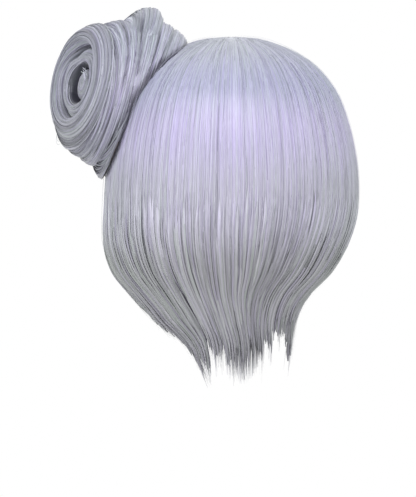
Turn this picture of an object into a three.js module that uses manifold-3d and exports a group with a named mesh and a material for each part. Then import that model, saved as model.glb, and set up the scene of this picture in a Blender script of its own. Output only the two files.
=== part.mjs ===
// A short bob wig with a wound side bun, in millimetres.
// +Z is up, +Y is the back of the head and +X is the wearer's left.
// The origin is the inside top of the cap, where the wig sits on a head.
import * as THREE from 'three';
import Module from 'manifold-3d';

// Head hollow
const headWidth = 152;
const headLength = 192;
const headCrown = 95;

// Cap
const capWall = 1.5;
const capFrontDrop = 84;
const capSideDrop = 108;
const capNapeDrop = 132;

// Hair volume
const hairWidth = 220;
const hairBack = 120;
const hairFront = 112;
const hairLift = 18;
const hairDrop = 297;

// Hems, measured down from the crown of the hair
const fringeDrop = 112;
const jawDrop = 226;
const backDrop = 272;
const napeDrop = 293;

// Locks and layers
const lockRelief = 2.4;
const lockPoint = 15;
const tipWall = 3;
const napeLayerWall = 3.2;

// Shares: how far the inner form follows the sway, the last part of a panel's height where its wall thins,
// and how much thinner the nape layer gets towards its hem
const innerSway = 0.4;
const tipShare = 0.3;
const napeThinning = 0.4;

// Places in the profile tables, counted in rows from the crown: the crown disc's edge, where locks begin to
// stand out and where they do so fully, where the nape layer starts, and where the bun's seat ends
const crownEdge = 2;
const lockStart = 6;
const lockFull = 13;
const napeStart = 10.4;
const seatEnd = 12;

// Panels, as azimuths from the back in degrees
const backEdge = 45;
const sideEdge = 123.75;
const napeEdge = 41.25;

// Bun
const bunRadius = 66;
const bunDepth = 58;
const bunFaceRadius = 47;
const bunSink = 14;
const bunAzimuth = 87;
const bunPlace = 6.4;
const bunTurnBack = 26;
const bunTurnDown = 14;
const bunRise = 5;
const coilRadius = 30;
const holeRadius = 17;
const coreRadius = 12.5;
const lobeHeight = 8;
const lobeEdge = 1;
const bandBulge = 2;
const tieThickness = 3;

// How far the lobe and the elastic reach round the bun to either side, in radians
const lobeSpread = 0.55;
const tieSpread = 0.9;

// Powers that shape the bun: how square its side wall is, and how soon the lobe rises from its ends
const wallPower = 1.6;
const lobePower = 0.75;

// Clearances
const fit = 0.3;
const layFit = 0.8;
const napeFit = 1.7;
const seatFit = 0.9;
const lobeFit = 0.8;

// Mesh steps: whole numbers of columns round the head, of rows, and of steps round the bun
const headColumns = 96;
const panelRows = 10;
const crownRows = 3;
const napeRows = 6;
const seatRows = 14;
const capColumns = 32;
const capRows = 8;
const ringSteps = 30;
const lobeSteps = 10;
const tieSteps = 14;
const tieSides = 6;

// Outer form of the hair, from the crown down: drop is a share of hairDrop, side of half hairWidth, back of
// hairBack, front of hairFront, and sway of half hairWidth towards the wearer's left
const outerProfile = [
  { drop: 0, side: 0, back: 0, front: 0, sway: 0 },
  { drop: 0.009, side: 0.22, back: 0.235, front: 0.235, sway: 0 },
  { drop: 0.026, side: 0.365, back: 0.385, front: 0.385, sway: 0 },
  { drop: 0.047, side: 0.49, back: 0.5, front: 0.5, sway: 0 },
  { drop: 0.077, side: 0.62, back: 0.635, front: 0.63, sway: 0 },
  { drop: 0.114, side: 0.725, back: 0.74, front: 0.735, sway: 0 },
  { drop: 0.162, side: 0.82, back: 0.835, front: 0.83, sway: 0 },
  { drop: 0.222, side: 0.89, back: 0.9, front: 0.9, sway: 0 },
  { drop: 0.303, side: 0.95, back: 0.955, front: 0.955, sway: 0 },
  { drop: 0.397, side: 0.985, back: 0.99, front: 0.99, sway: 0 },
  { drop: 0.498, side: 0.99, back: 1, front: 1, sway: 0.01 },
  { drop: 0.589, side: 0.955, back: 0.96, front: 0.965, sway: 0.044 },
  { drop: 0.673, side: 0.855, back: 0.86, front: 0.9, sway: 0.075 },
  { drop: 0.741, side: 0.69, back: 0.765, front: 0.82, sway: 0.09 },
  { drop: 0.808, side: 0.565, back: 0.68, front: 0.74, sway: 0.06 },
  { drop: 0.882, side: 0.49, back: 0.615, front: 0.66, sway: 0.01 },
  { drop: 1, side: 0.45, back: 0.56, front: 0.6, sway: 0 },
];

// Inner form of the hair, row by row with the outer one: tilt is degrees from the crown over the head, hang is
// a share of hairDrop below the head's widest level, and the rest are shares of the head's half sizes
const innerProfile = [
  { tilt: 0, hang: 0, side: 1, back: 1, front: 1 },
  { tilt: 16, hang: 0, side: 1, back: 1, front: 1 },
  { tilt: 27, hang: 0, side: 1, back: 1, front: 1 },
  { tilt: 36, hang: 0, side: 1, back: 1, front: 1 },
  { tilt: 46, hang: 0, side: 1, back: 1, front: 1 },
  { tilt: 55, hang: 0, side: 1, back: 1, front: 1 },
  { tilt: 64, hang: 0, side: 1, back: 1, front: 1 },
  { tilt: 73, hang: 0, side: 1, back: 1, front: 1 },
  { tilt: 83, hang: 0, side: 1, back: 1, front: 1 },
  { tilt: 90, hang: 0.02, side: 1, back: 1, front: 1 },
  { tilt: 90, hang: 0.118, side: 1, back: 0.99, front: 1 },
  { tilt: 90, hang: 0.209, side: 0.97, back: 0.94, front: 0.97 },
  { tilt: 90, hang: 0.286, side: 0.89, back: 0.855, front: 0.9 },
  { tilt: 90, hang: 0.357, side: 0.78, back: 0.775, front: 0.82 },
  { tilt: 90, hang: 0.424, side: 0.69, back: 0.71, front: 0.74 },
  { tilt: 90, hang: 0.498, side: 0.62, back: 0.675, front: 0.66 },
  { tilt: 90, hang: 0.62, side: 0.59, back: 0.655, front: 0.6 },
];

// One lock across its columns: rise is a share of lockRelief and reach a share of lockPoint
const lockShape = [
  { rise: 0, reach: 0 },
  { rise: 1, reach: 0.65 },
  { rise: 0.7, reach: 1 },
];

// How far each lock in turn reaches beyond or short of its hem, as a share of lockPoint
const lockRhythm = [0.2, -0.35, 0.1, 0.4, -0.2, 0.05, -0.4, 0.3];

// Hem of the hair by azimuth from the back towards either side: left and right are shares of the way from
// jawDrop (0) to backDrop (1)
const hemProfile = [
  { azimuth: 0, left: 0.86, right: 0.86 },
  { azimuth: 18, left: 1.05, right: 0.8 },
  { azimuth: 45, left: 1.2, right: 0.7 },
  { azimuth: 65, left: 0.8, right: 0.9 },
  { azimuth: 90, left: 0.28, right: 0.3 },
  { azimuth: sideEdge, left: 0, right: 0 },
];

// Side wall of the bun: station is a share of bunDepth from the hair outwards; top, foot and side are shares
// of bunRadius at the bun's upper edge, at its lower edge and across it
const bunProfile = [
  { station: -0.28, top: 1.04, foot: 0.95, side: 0.66 },
  { station: 0, top: 1.13, foot: 0.95, side: 0.7 },
  { station: 0.25, top: 1.1, foot: 0.93, side: 0.78 },
  { station: 0.55, top: 0.95, foot: 0.9, side: 0.83 },
  { station: 0.8, top: 0.8, foot: 0.85, side: 0.8 },
  { station: 1, top: 0.72, foot: 0.72, side: 0.72 },
];

// Wound bands of the side wall, as stations from the hair outwards
const bunBands = [
  { from: -0.28, to: -0.02 },
  { from: -0.02, to: 0.27 },
  { from: 0.27, to: 0.54 },
  { from: 0.54, to: 0.8 },
];

// Section of the top lobe: rise is a share of lobeHeight
const lobeSection = [
  { station: 0.14, rise: 0.2 },
  { station: 0.24, rise: 0.6 },
  { station: 0.35, rise: 1 },
  { station: 0.44, rise: 0.9 },
  { station: 0.49, rise: 0.3 },
];

// Station where the inner coil's side turns in to its rounded end
const coilShoulder = 0.88;

// Rounded end of the inner coil, over the shoulder into the hole: wall is a share of the way from the hole (0)
// to the coil's side (1)
const coilEnd = [
  { station: coilShoulder, wall: 1 },
  { station: 0.95, wall: 0.85 },
  { station: 0.97, wall: 0.45 },
  { station: 0.9, wall: 0 },
];

// Plug in the hole: radius is a share of coreRadius
const coreEnd = [
  { station: 0.57, radius: 1 },
  { station: 0.84, radius: 1 },
  { station: 0.89, radius: 0.7 },
  { station: 0.91, radius: 0 },
];

// Station at the bun's root, inside the hair form that cuts it
const rootStation = -0.55;

// Stations between which the elastic is looked for in the crease, and the step of the search
const tieSearch = { from: 0.7, to: -0.4, step: 0.01 };

// Section of a wound band: along is a share of its width and rise a share of bandBulge
const bandSection = [
  { along: 0, rise: -1 },
  { along: 0.16, rise: 0.1 },
  { along: 0.5, rise: 1 },
  { along: 0.84, rise: 0.1 },
  { along: 1, rise: -1 },
];

// Section of the face roll, from the last band over the shoulder to the inner coil: rim is a share of the way
// from the coil (0) to the rim of the face (1), and along a share of the way to the face
const faceSection = [
  { along: 0, rim: 1.1 },
  { along: 0.18, rim: 1.18 },
  { along: 0.5, rim: 1.1 },
  { along: 0.82, rim: 0.94 },
  { along: 0.98, rim: 0.72 },
  { along: 1, rim: 0.4 },
  { along: 0.93, rim: 0.1 },
  { along: 0.86, rim: 0 },
];

const wasm = await Module();
wasm.setup();

const radians = THREE.MathUtils.degToRad;

// Columns of a panel or layer between two azimuths in degrees
function columnsBetween(from, to) {
  return Math.round(((to - from) * headColumns) / 360);
}

// Smooth curve through one column of a table at place u, counted in rows
function blendRows(table, column, u) {
  const last = table.length - 1;
  const row = Math.min(Math.max(Math.floor(u), 0), last - 1);
  const t = Math.min(Math.max(u - row, 0), 1);
  const value = (index) => table[Math.min(Math.max(index, 0), last)][column];
  const [a, b, c, d] = [value(row - 1), value(row), value(row + 1), value(row + 2)];
  const bend = 2 * a - 5 * b + 4 * c - d;
  const twist = 3 * (b - c) + d - a;
  return b + 0.5 * t * (c - a + t * (bend + t * twist));
}

// Straight line through one column of a table at a value of its key column
function readTable(table, key, column, at) {
  let row = 0;
  while (row < table.length - 2 && table[row + 1][key] < at) row += 1;
  const [a, b] = [table[row], table[row + 1]];
  const t = Math.min(Math.max((at - a[key]) / (b[key] - a[key]), 0), 1);
  return a[column] + t * (b[column] - a[column]);
}

// Point of the hair's outer form at an azimuth in degrees and a place in the profile, lifted outwards: upwards
// at the crown and level where the form is steep
function outerPoint(azimuth, u, lift = 0) {
  const turn = radians(azimuth);
  const isBack = Math.cos(turn) >= 0;
  const depth = isBack ? hairBack : hairFront;
  const along = blendRows(outerProfile, isBack ? 'back' : 'front', u) * depth;
  const across = (blendRows(outerProfile, 'side', u) * hairWidth) / 2;
  const sway = (blendRows(outerProfile, 'sway', u) * hairWidth) / 2;
  const steep = Math.min(u / lockStart, 1);
  return new THREE.Vector3(
    (across + lift * steep) * Math.sin(turn) + sway,
    (along + lift * steep) * Math.cos(turn),
    hairLift - blendRows(outerProfile, 'drop', u) * hairDrop + lift * (1 - steep * steep),
  );
}

// Point of the hair's inner form, which lies on the cap and hangs free below it
function innerPoint(azimuth, u) {
  const turn = radians(azimuth);
  const tilt = radians(blendRows(innerProfile, 'tilt', u));
  const lay = capWall + layFit;
  const width = (headWidth / 2 + lay) * blendRows(innerProfile, 'side', u);
  const depthColumn = Math.cos(turn) >= 0 ? 'back' : 'front';
  const length = (headLength / 2 + lay) * blendRows(innerProfile, depthColumn, u);
  const sway = (innerSway * blendRows(outerProfile, 'sway', u) * hairWidth) / 2;
  return new THREE.Vector3(
    width * Math.sin(tilt) * Math.sin(turn) + sway,
    length * Math.sin(tilt) * Math.cos(turn),
    (headCrown + lay) * Math.cos(tilt) - headCrown - blendRows(innerProfile, 'hang', u) * hairDrop,
  );
}

// Place in the outer profile that lies a given drop below the crown of the hair
function placeAtDrop(drop) {
  let low = 0;
  let high = outerProfile.length - 1;
  for (let step = 0; step < 24; step += 1) {
    const middle = (low + high) / 2;
    if (blendRows(outerProfile, 'drop', middle) * hairDrop < drop) low = middle;
    else high = middle;
  }
  return (low + high) / 2;
}

// Closed mesh from a grid of outer points and one of inner points, rows running from the crown down
function wallGeometry(outer, inner, isRound) {
  const rows = outer.length;
  const columns = outer[0].length;
  const points = [...outer.flat(), ...inner.flat()];
  const triangles = [];
  const at = (side, row, column) => side * rows * columns + row * columns + (column % columns);
  const quad = (a, b, c, d) => triangles.push([a, b, c], [a, c, d]);
  const lastColumn = isRound ? columns : columns - 1;
  for (let row = 0; row < rows - 1; row += 1) {
    for (let column = 0; column < lastColumn; column += 1) {
      quad(at(0, row, column), at(0, row, column + 1), at(0, row + 1, column + 1), at(0, row + 1, column));
      quad(at(1, row, column), at(1, row + 1, column), at(1, row + 1, column + 1), at(1, row, column + 1));
    }
  }
  for (let column = 0; column < lastColumn; column += 1) {
    quad(at(0, 0, column), at(1, 0, column), at(1, 0, column + 1), at(0, 0, column + 1));
    const end = rows - 1;
    quad(at(0, end, column), at(0, end, column + 1), at(1, end, column + 1), at(1, end, column));
  }
  if (!isRound) {
    for (let row = 0; row < rows - 1; row += 1) {
      const end = columns - 1;
      quad(at(0, row, 0), at(0, row + 1, 0), at(1, row + 1, 0), at(1, row, 0));
      quad(at(0, row, end), at(1, row, end), at(1, row + 1, end), at(0, row + 1, end));
    }
  }
  return closedGeometry(points, triangles);
}

// Geometry from points and triangles, with points at one place welded and empty triangles left out
function closedGeometry(points, triangles) {
  const places = new Map();
  const positions = [];
  const welded = points.map((point) => {
    const key = point.toArray().map((value) => Math.round(value * 1000)).join(' ');
    if (!places.has(key)) {
      places.set(key, positions.length / 3);
      positions.push(...point.toArray());
    }
    return places.get(key);
  });
  const kept = triangles
    .map((triangle) => triangle.map((index) => welded[index]))
    .filter(([a, b, c]) => a !== b && b !== c && c !== a);
  const geometry = new THREE.BufferGeometry();
  geometry.setAttribute('position', new THREE.Float32BufferAttribute(positions, 3));
  geometry.setIndex(kept.flat());
  return outwards(geometry);
}

// Turns a closed geometry's faces outwards, by the sign of its volume
function outwards(geometry) {
  const position = geometry.getAttribute('position');
  const index = geometry.getIndex().array;
  const corner = (place) => new THREE.Vector3().fromBufferAttribute(position, index[place]);
  let volume = 0;
  for (let place = 0; place < index.length; place += 3) {
    volume += corner(place).dot(corner(place + 1).cross(corner(place + 2)));
  }
  if (volume < 0) {
    for (let place = 0; place < index.length; place += 3) {
      [index[place], index[place + 1]] = [index[place + 1], index[place]];
    }
  }
  return geometry;
}

function toSolid(geometry) {
  const vertProperties = Float32Array.from(geometry.getAttribute('position').array);
  const triVerts = Uint32Array.from(geometry.getIndex().array);
  return new wasm.Manifold(new wasm.Mesh({ numProp: 3, vertProperties, triVerts }));
}

function toGeometry(solid) {
  const mesh = solid.getMesh();
  const geometry = new THREE.BufferGeometry();
  geometry.setAttribute('position', new THREE.BufferAttribute(mesh.vertProperties, 3));
  geometry.setIndex(new THREE.BufferAttribute(mesh.triVerts, 1));
  return geometry;
}

// Keeps the largest body of a solid, where a cut leaves loose crumbs
function largest(solid) {
  const bodies = solid.decompose();
  return bodies.reduce((best, body) => (body.volume() > best.volume() ? body : best));
}

// Hem drop at an azimuth, the wearer's left being positive
function hemDrop(azimuth) {
  const share = readTable(hemProfile, 'azimuth', azimuth >= 0 ? 'left' : 'right', Math.abs(azimuth));
  return jawDrop + (backDrop - jawDrop) * share;
}

// Panel of hair between two azimuths, from the crown disc down to a hem cut in pointed locks
function hairPanel(from, to, dropAt) {
  const columns = columnsBetween(from, to);
  const outer = [];
  const inner = [];
  for (let row = 0; row <= panelRows; row += 1) {
    const share = row / panelRows;
    const outerRow = [];
    const innerRow = [];
    for (let column = 0; column <= columns; column += 1) {
      const azimuth = from + ((to - from) * column) / columns;
      const count = columnsBetween(-180, azimuth);
      const lock = lockShape[count % lockShape.length];
      const rhythm = lockRhythm[Math.floor(count / lockShape.length) % lockRhythm.length];
      const hem = placeAtDrop(dropAt(azimuth) + lockPoint * (lock.reach - 0.5 + rhythm));
      const u = crownEdge + (hem - crownEdge) * share;
      const ease = Math.min(Math.max((u - lockStart) / (lockFull - lockStart), 0), 1);
      const edge = column === 0 ? 1 : column === columns ? -1 : 0;
      const radius = Math.hypot(innerPoint(azimuth, u).x, innerPoint(azimuth, u).y);
      const nudged = azimuth + edge * THREE.MathUtils.radToDeg(fit / Math.max(radius, coilRadius));
      const skin = outerPoint(nudged, u, -lockRelief * ease * (1 - lock.rise));
      const lining = innerPoint(nudged, u);
      const wall = skin.distanceTo(lining);
      const thin = Math.max(share - 1 + tipShare, 0) / tipShare;
      const taper = Math.max(1 - tipWall / wall, 0) * thin * thin;
      outerRow.push(skin);
      innerRow.push(lining.lerp(skin, taper));
    }
    outer.push(outerRow);
    inner.push(innerRow);
  }
  return wallGeometry(outer, inner, false);
}

// Disc of hair over the crown, closed at the crown's pole
function crownDisc() {
  const columns = columnsBetween(0, 180);
  const edge = placeAtDrop(blendRows(outerProfile, 'drop', crownEdge) * hairDrop - fit / 2);
  const grid = (pointAt) => {
    const rowsOfPoints = [];
    for (let row = 0; row <= crownRows; row += 1) {
      const u = (edge * row) / crownRows;
      const points = [];
      for (let column = 0; column < columns; column += 1) {
        points.push(pointAt((360 * column) / columns, u));
      }
      rowsOfPoints.push(points);
    }
    return rowsOfPoints;
  };
  return wallGeometry(grid(outerPoint), grid(innerPoint), true);
}

// Point on the cap's skin: tilt from the crown, with the wall added outwards
function capPoint(azimuth, tilt, wall) {
  const turn = radians(azimuth);
  return new THREE.Vector3(
    (headWidth / 2 + wall) * Math.sin(tilt) * Math.sin(turn),
    (headLength / 2 + wall) * Math.sin(tilt) * Math.cos(turn),
    (headCrown + wall) * Math.cos(tilt) - headCrown,
  );
}

// Rim of the cap: low at the nape, higher over the ears and highest at the forehead
function capRimTilt(azimuth) {
  const turn = Math.cos(radians(azimuth));
  const low = turn >= 0 ? capNapeDrop : capFrontDrop;
  const drop = capSideDrop + (low - capSideDrop) * turn * turn;
  return Math.acos((headCrown - drop) / headCrown);
}

function capShell() {
  const grid = (wall) => {
    const rowsOfPoints = [];
    for (let row = 0; row <= capRows; row += 1) {
      const points = [];
      for (let column = 0; column < capColumns; column += 1) {
        const azimuth = (360 * column) / capColumns;
        points.push(capPoint(azimuth, (capRimTilt(azimuth) * row) / capRows, wall));
      }
      rowsOfPoints.push(points);
    }
    return rowsOfPoints;
  };
  return wallGeometry(grid(capWall), grid(0), true);
}

// Under layer at the nape: a thin sheet of locks just inside the back panel, reaching lower than it
function napeLayer() {
  const columns = columnsBetween(-napeEdge, napeEdge);
  const outer = [];
  const inner = [];
  for (let row = 0; row <= napeRows; row += 1) {
    const share = row / napeRows;
    const outerRow = [];
    const innerRow = [];
    for (let column = 0; column <= columns; column += 1) {
      const azimuth = napeEdge * ((2 * column) / columns - 1);
      const lock = lockShape[(column + 1) % lockShape.length];
      const fall = (napeDrop - backDrop) * (azimuth / napeEdge) ** 2;
      const hem = placeAtDrop(napeDrop - fall - lockPoint * (1 - lock.reach));
      const u = napeStart + (hem - napeStart) * share;
      const face = innerPoint(azimuth, u);
      const outwardsWay = new THREE.Vector3(Math.sin(radians(azimuth)), Math.cos(radians(azimuth)), 0);
      const wall = napeLayerWall * (1 - napeThinning * share);
      outerRow.push(face.clone().addScaledVector(outwardsWay, -napeFit));
      innerRow.push(face.clone().addScaledVector(outwardsWay, -napeFit - wall));
    }
    outer.push(outerRow);
    inner.push(innerRow);
  }
  return wallGeometry(outer, inner, false);
}

// Whole hair form, lifted by the bun's seat clearance, which cuts the underside of the bun
function hairForm() {
  const rows = seatRows;
  const columns = columnsBetween(0, 180);
  const outer = [];
  for (let row = 0; row <= rows; row += 1) {
    const u = (seatEnd * row) / rows;
    const outerRow = [];
    for (let column = 0; column < columns; column += 1) {
      outerRow.push(outerPoint((360 * column) / columns, u, seatFit));
    }
    outer.push(outerRow);
  }
  const points = outer.flat();
  const triangles = [];
  const at = (row, column) => row * columns + (column % columns);
  for (let row = 0; row < rows; row += 1) {
    for (let column = 0; column < columns; column += 1) {
      triangles.push([at(row, column), at(row, column + 1), at(row + 1, column + 1)]);
      triangles.push([at(row, column), at(row + 1, column + 1), at(row + 1, column)]);
    }
  }
  const floor = points.length;
  points.push(new THREE.Vector3(0, 0, points[floor - 1].z));
  for (let column = 0; column < columns; column += 1) {
    triangles.push([at(rows, column), at(rows, column + 1), floor]);
  }
  return toSolid(closedGeometry(points, triangles));
}

// Axis of the bun: it leaves the hair square and bends back and level towards its face
const seat = outerPoint(bunAzimuth, bunPlace);
const seatAcross = outerPoint(bunAzimuth + 1, bunPlace).sub(outerPoint(bunAzimuth - 1, bunPlace));
const seatDown = outerPoint(bunAzimuth, bunPlace + 0.1).sub(outerPoint(bunAzimuth, bunPlace - 0.1));
const seatNormal = new THREE.Vector3().crossVectors(seatAcross, seatDown).normalize();
if (seatNormal.x < 0) seatNormal.negate();
const backTurn = new THREE.Quaternion().setFromAxisAngle(new THREE.Vector3(0, 0, 1), radians(bunTurnBack));
const faceNormal = seatNormal.clone().applyQuaternion(backTurn);
faceNormal.z -= Math.sin(radians(bunTurnDown));
faceNormal.normalize();

// Centre, axis and cross directions of the bun at a station, 0 at the hair and 1 at its face
function bunFrame(station) {
  const bend = Math.min(Math.max(station, 0), 1);
  const axis = seatNormal.clone().lerp(faceNormal, bend).normalize();
  const middle = seatNormal.clone().lerp(faceNormal, bend / 2).normalize();
  const centre = seat.clone().addScaledVector(seatNormal, -bunSink);
  centre.addScaledVector(middle, station * bunDepth);
  centre.z += bunRise * bend;
  const up = new THREE.Vector3(0, 0, 1);
  up.addScaledVector(axis, -up.dot(axis)).normalize();
  const side = new THREE.Vector3().crossVectors(axis, up);
  return { centre, up, side };
}

function bunPoint(station, radius, angle) {
  const frame = bunFrame(station);
  return frame.centre
    .addScaledVector(frame.up, radius * Math.cos(angle))
    .addScaledVector(frame.side, radius * Math.sin(angle));
}

// Radius of the bun's side wall, larger towards its top
function bunWall(station, angle) {
  const top = readTable(bunProfile, 'station', 'top', station);
  const foot = readTable(bunProfile, 'station', 'foot', station);
  const side = readTable(bunProfile, 'station', 'side', station);
  const end = Math.cos(angle) > 0 ? top : foot;
  return bunRadius * (side + (end - side) * Math.abs(Math.cos(angle)) ** wallPower);
}

// Closed ring from a section of { station, radiusAt }, or with a spread an arc of it with closed ends
function ringGeometry(section, spread) {
  const isRound = spread === undefined;
  const steps = isRound ? ringSteps : lobeSteps;
  const turns = isRound ? steps : steps + 1;
  const points = [];
  for (let step = 0; step < turns; step += 1) {
    const angle = isRound ? (2 * Math.PI * step) / steps : spread * ((2 * step) / steps - 1);
    section.forEach((corner) => points.push(bunPoint(corner.station, corner.radiusAt(angle), angle)));
  }
  const size = section.length;
  const triangles = [];
  for (let step = 0; step < steps; step += 1) {
    for (let corner = 0; corner < size; corner += 1) {
      const next = (corner + 1) % size;
      const ahead = ((step + 1) % turns) * size;
      const here = step * size;
      triangles.push([here + corner, ahead + corner, ahead + next]);
      triangles.push([here + corner, ahead + next, here + next]);
    }
  }
  if (!isRound) {
    for (let corner = 1; corner < size - 1; corner += 1) {
      triangles.push([0, corner, corner + 1]);
      triangles.push([steps * size, steps * size + corner + 1, steps * size + corner]);
    }
  }
  return closedGeometry(points, triangles);
}

function cutByHair(geometry, form) {
  return toGeometry(largest(toSolid(geometry).subtract(form)));
}

// One wound band of the side wall, lying round the inner coil
function bunBand(band) {
  const gap = fit / bunDepth / 2;
  const width = band.to - band.from - 2 * gap;
  const section = bandSection.map((corner) => ({
    station: band.from + gap + width * corner.along,
    radiusAt: (angle) => bunWall(band.from + width * corner.along, angle) + bandBulge * corner.rise,
  }));
  section.push({ station: band.to - gap, radiusAt: () => coilRadius + fit });
  section.push({ station: band.from + gap, radiusAt: () => coilRadius + fit });
  return ringGeometry(section);
}

// Roll of hair round the face of the bun, from the last band over the shoulder to the inner coil
function bunFaceRoll() {
  const from = bunBands[bunBands.length - 1].to + fit / bunDepth / 2;
  const inner = coilRadius + fit;
  const section = faceSection.map((corner) => ({
    station: from + (1 - from) * corner.along,
    radiusAt: (angle) => {
      const wall = bunWall(from, angle) - bandBulge;
      const rim = corner.along < 0.1 ? wall : inner + (bunFaceRadius - inner) * corner.rim;
      const shoulder = Math.max(1 - corner.along * 1.6, 0) * corner.rim;
      return rim + (corner.along < 0.1 ? 0 : Math.max(wall - bunFaceRadius, 0) * shoulder);
    },
  }));
  section.push({ station: coilShoulder, radiusAt: () => inner });
  section.push({ station: from, radiusAt: () => inner });
  return ringGeometry(section);
}

// Stations that the inner pieces pass, so that their walls bend as the bands round them do
const bendStations = [rootStation, ...bunBands.map((band) => band.from), bunBands[bunBands.length - 1].to];

// Inner turn of the roll, from the hair up to the hole in the face
function bunInnerCoil() {
  const inner = holeRadius + fit;
  const mix = (share) => () => coilRadius * share + inner * (1 - share);
  const section = [
    ...bendStations.map((station) => ({ station, radiusAt: mix(1) })),
    ...coilEnd.map((corner) => ({ station: corner.station, radiusAt: mix(corner.wall) })),
    ...[...bendStations].reverse().map((station) => ({ station, radiusAt: mix(0) })),
  ];
  return ringGeometry(section);
}

// Middle of the roll, seen as a low plug in the hole
function bunCore() {
  const section = [
    { station: rootStation, radiusAt: () => 0 },
    ...bendStations.slice(0, -1).map((station) => ({ station, radiusAt: () => holeRadius })),
    ...coreEnd.map((corner) => ({ station: corner.station, radiusAt: () => coreRadius * corner.radius })),
  ];
  return ringGeometry(section);
}

// Folded lobe on top of the bun, which lies over two of its bands
function bunTopLobe() {
  const ease = (angle) => Math.max(1 - (angle / lobeSpread) ** 2, 0) ** lobePower;
  const low = (station) => (angle) => bunWall(station, angle) + bandBulge + lobeFit;
  const high = (station, rise) => (angle) => low(station)(angle) + lobeEdge + lobeHeight * rise * ease(angle);
  const section = lobeSection.map((corner) => ({
    station: corner.station,
    radiusAt: high(corner.station, corner.rise),
  }));
  const [first, last] = [lobeSection[0].station, lobeSection[lobeSection.length - 1].station];
  section.push({ station: last, radiusAt: low(last) });
  section.push({ station: (first + last) / 2, radiusAt: low((first + last) / 2) });
  section.push({ station: first, radiusAt: low(first) });
  return ringGeometry(section, lobeSpread);
}

// How far a point lies outside the hair's outer form, seen level
function outsideHair(point) {
  const u = placeAtDrop(hairLift - point.z);
  const skin = outerPoint(THREE.MathUtils.radToDeg(Math.atan2(point.x, point.y)), u);
  return Math.hypot(point.x, point.y) - Math.hypot(skin.x, skin.y);
}

// Elastic in the crease where the foot of the bun meets the hair
function bunTie() {
  const radius = tieThickness / 2;
  const sides = tieSides;
  const steps = tieSteps;
  const points = [];
  for (let step = 0; step <= steps; step += 1) {
    const angle = Math.PI + ((step / steps) * 2 - 1) * tieSpread;
    const ringAt = (station) => bunWall(station, angle) + bandBulge + radius + fit;
    const isClear = (at) => outsideHair(bunPoint(at, ringAt(at), angle)) > radius + seatFit;
    let station = tieSearch.from;
    while (isClear(station) && station > tieSearch.to) station -= tieSearch.step;
    const centre = bunPoint(station, ringAt(station), angle);
    const frame = bunFrame(station);
    const out = bunPoint(station, ringAt(station) + 1, angle).sub(centre);
    const along = new THREE.Vector3().crossVectors(frame.up, frame.side).normalize();
    for (let side = 0; side < sides; side += 1) {
      const turn = (2 * Math.PI * side) / sides;
      points.push(centre.clone()
        .addScaledVector(out, radius * Math.cos(turn))
        .addScaledVector(along, radius * Math.sin(turn)));
    }
  }
  const triangles = [];
  for (let step = 0; step < steps; step += 1) {
    for (let side = 0; side < sides; side += 1) {
      const next = (side + 1) % sides;
      const here = step * sides;
      const ahead = here + sides;
      triangles.push([here + side, ahead + side, ahead + next], [here + side, ahead + next, here + next]);
    }
  }
  for (let side = 1; side < sides - 1; side += 1) {
    triangles.push([0, side, side + 1]);
    triangles.push([steps * sides, steps * sides + side + 1, steps * sides + side]);
  }
  return closedGeometry(points, triangles);
}

// Materials of the real wig: silver lavender fibre, its darker under layer, the stretch cap and the elastic
function finish(colour, roughness) {
  return new THREE.MeshStandardMaterial({ color: colour, roughness, metalness: 0 });
}

const fibreRoughness = 0.38;
const clothRoughness = 0.85;

function fibre(colour) {
  return finish(colour, fibreRoughness);
}

const hairColour = '#bdbacb';
const underColour = '#9d9da8';
const bunColour = '#a9a9b5';
const capColour = '#8b8b93';
const tieColour = '#6a5a48';

const wig = new THREE.Group();

function addPiece(name, geometry, material) {
  const mesh = new THREE.Mesh(geometry, material);
  mesh.name = name;
  wig.add(mesh);
}

addPiece('cap', capShell(), finish(capColour, clothRoughness));
addPiece('crown_hair', crownDisc(), fibre(hairColour));
addPiece('back_hair', hairPanel(-backEdge, backEdge, hemDrop), fibre(hairColour));
addPiece('left_hair', hairPanel(backEdge, sideEdge, hemDrop), fibre(hairColour));
addPiece('right_hair', hairPanel(-sideEdge, -backEdge, hemDrop), fibre(hairColour));
addPiece('fringe', hairPanel(sideEdge, 360 - sideEdge, () => fringeDrop), fibre(hairColour));
addPiece('nape_layer', napeLayer(), fibre(underColour));

const form = hairForm();
bunBands.forEach((band, index) => {
  addPiece(`bun_band_${index + 1}`, cutByHair(bunBand(band), form), fibre(bunColour));
});
addPiece('bun_face_roll', cutByHair(bunFaceRoll(), form), fibre(bunColour));
addPiece('bun_inner_coil', cutByHair(bunInnerCoil(), form), fibre(bunColour));
addPiece('bun_core', cutByHair(bunCore(), form), fibre(underColour));
addPiece('bun_top_lobe', bunTopLobe(), fibre(bunColour));
addPiece('bun_tie', bunTie(), finish(tieColour, clothRoughness));

export default wig;
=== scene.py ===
import math
import bpy
import numpy as np
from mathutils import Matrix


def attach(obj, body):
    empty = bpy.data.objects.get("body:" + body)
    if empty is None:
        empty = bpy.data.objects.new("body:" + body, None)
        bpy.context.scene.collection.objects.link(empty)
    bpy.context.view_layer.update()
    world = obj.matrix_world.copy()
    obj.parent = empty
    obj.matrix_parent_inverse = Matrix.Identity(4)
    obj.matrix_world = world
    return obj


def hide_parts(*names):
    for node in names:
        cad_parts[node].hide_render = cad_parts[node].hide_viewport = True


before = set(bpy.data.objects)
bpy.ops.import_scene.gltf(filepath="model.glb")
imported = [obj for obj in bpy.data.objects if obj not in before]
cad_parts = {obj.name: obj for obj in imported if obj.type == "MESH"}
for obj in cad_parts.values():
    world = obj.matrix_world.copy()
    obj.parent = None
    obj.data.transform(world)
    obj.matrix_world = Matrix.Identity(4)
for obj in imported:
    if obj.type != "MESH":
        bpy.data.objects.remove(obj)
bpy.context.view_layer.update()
mm = 0.001

# Small helpers

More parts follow.
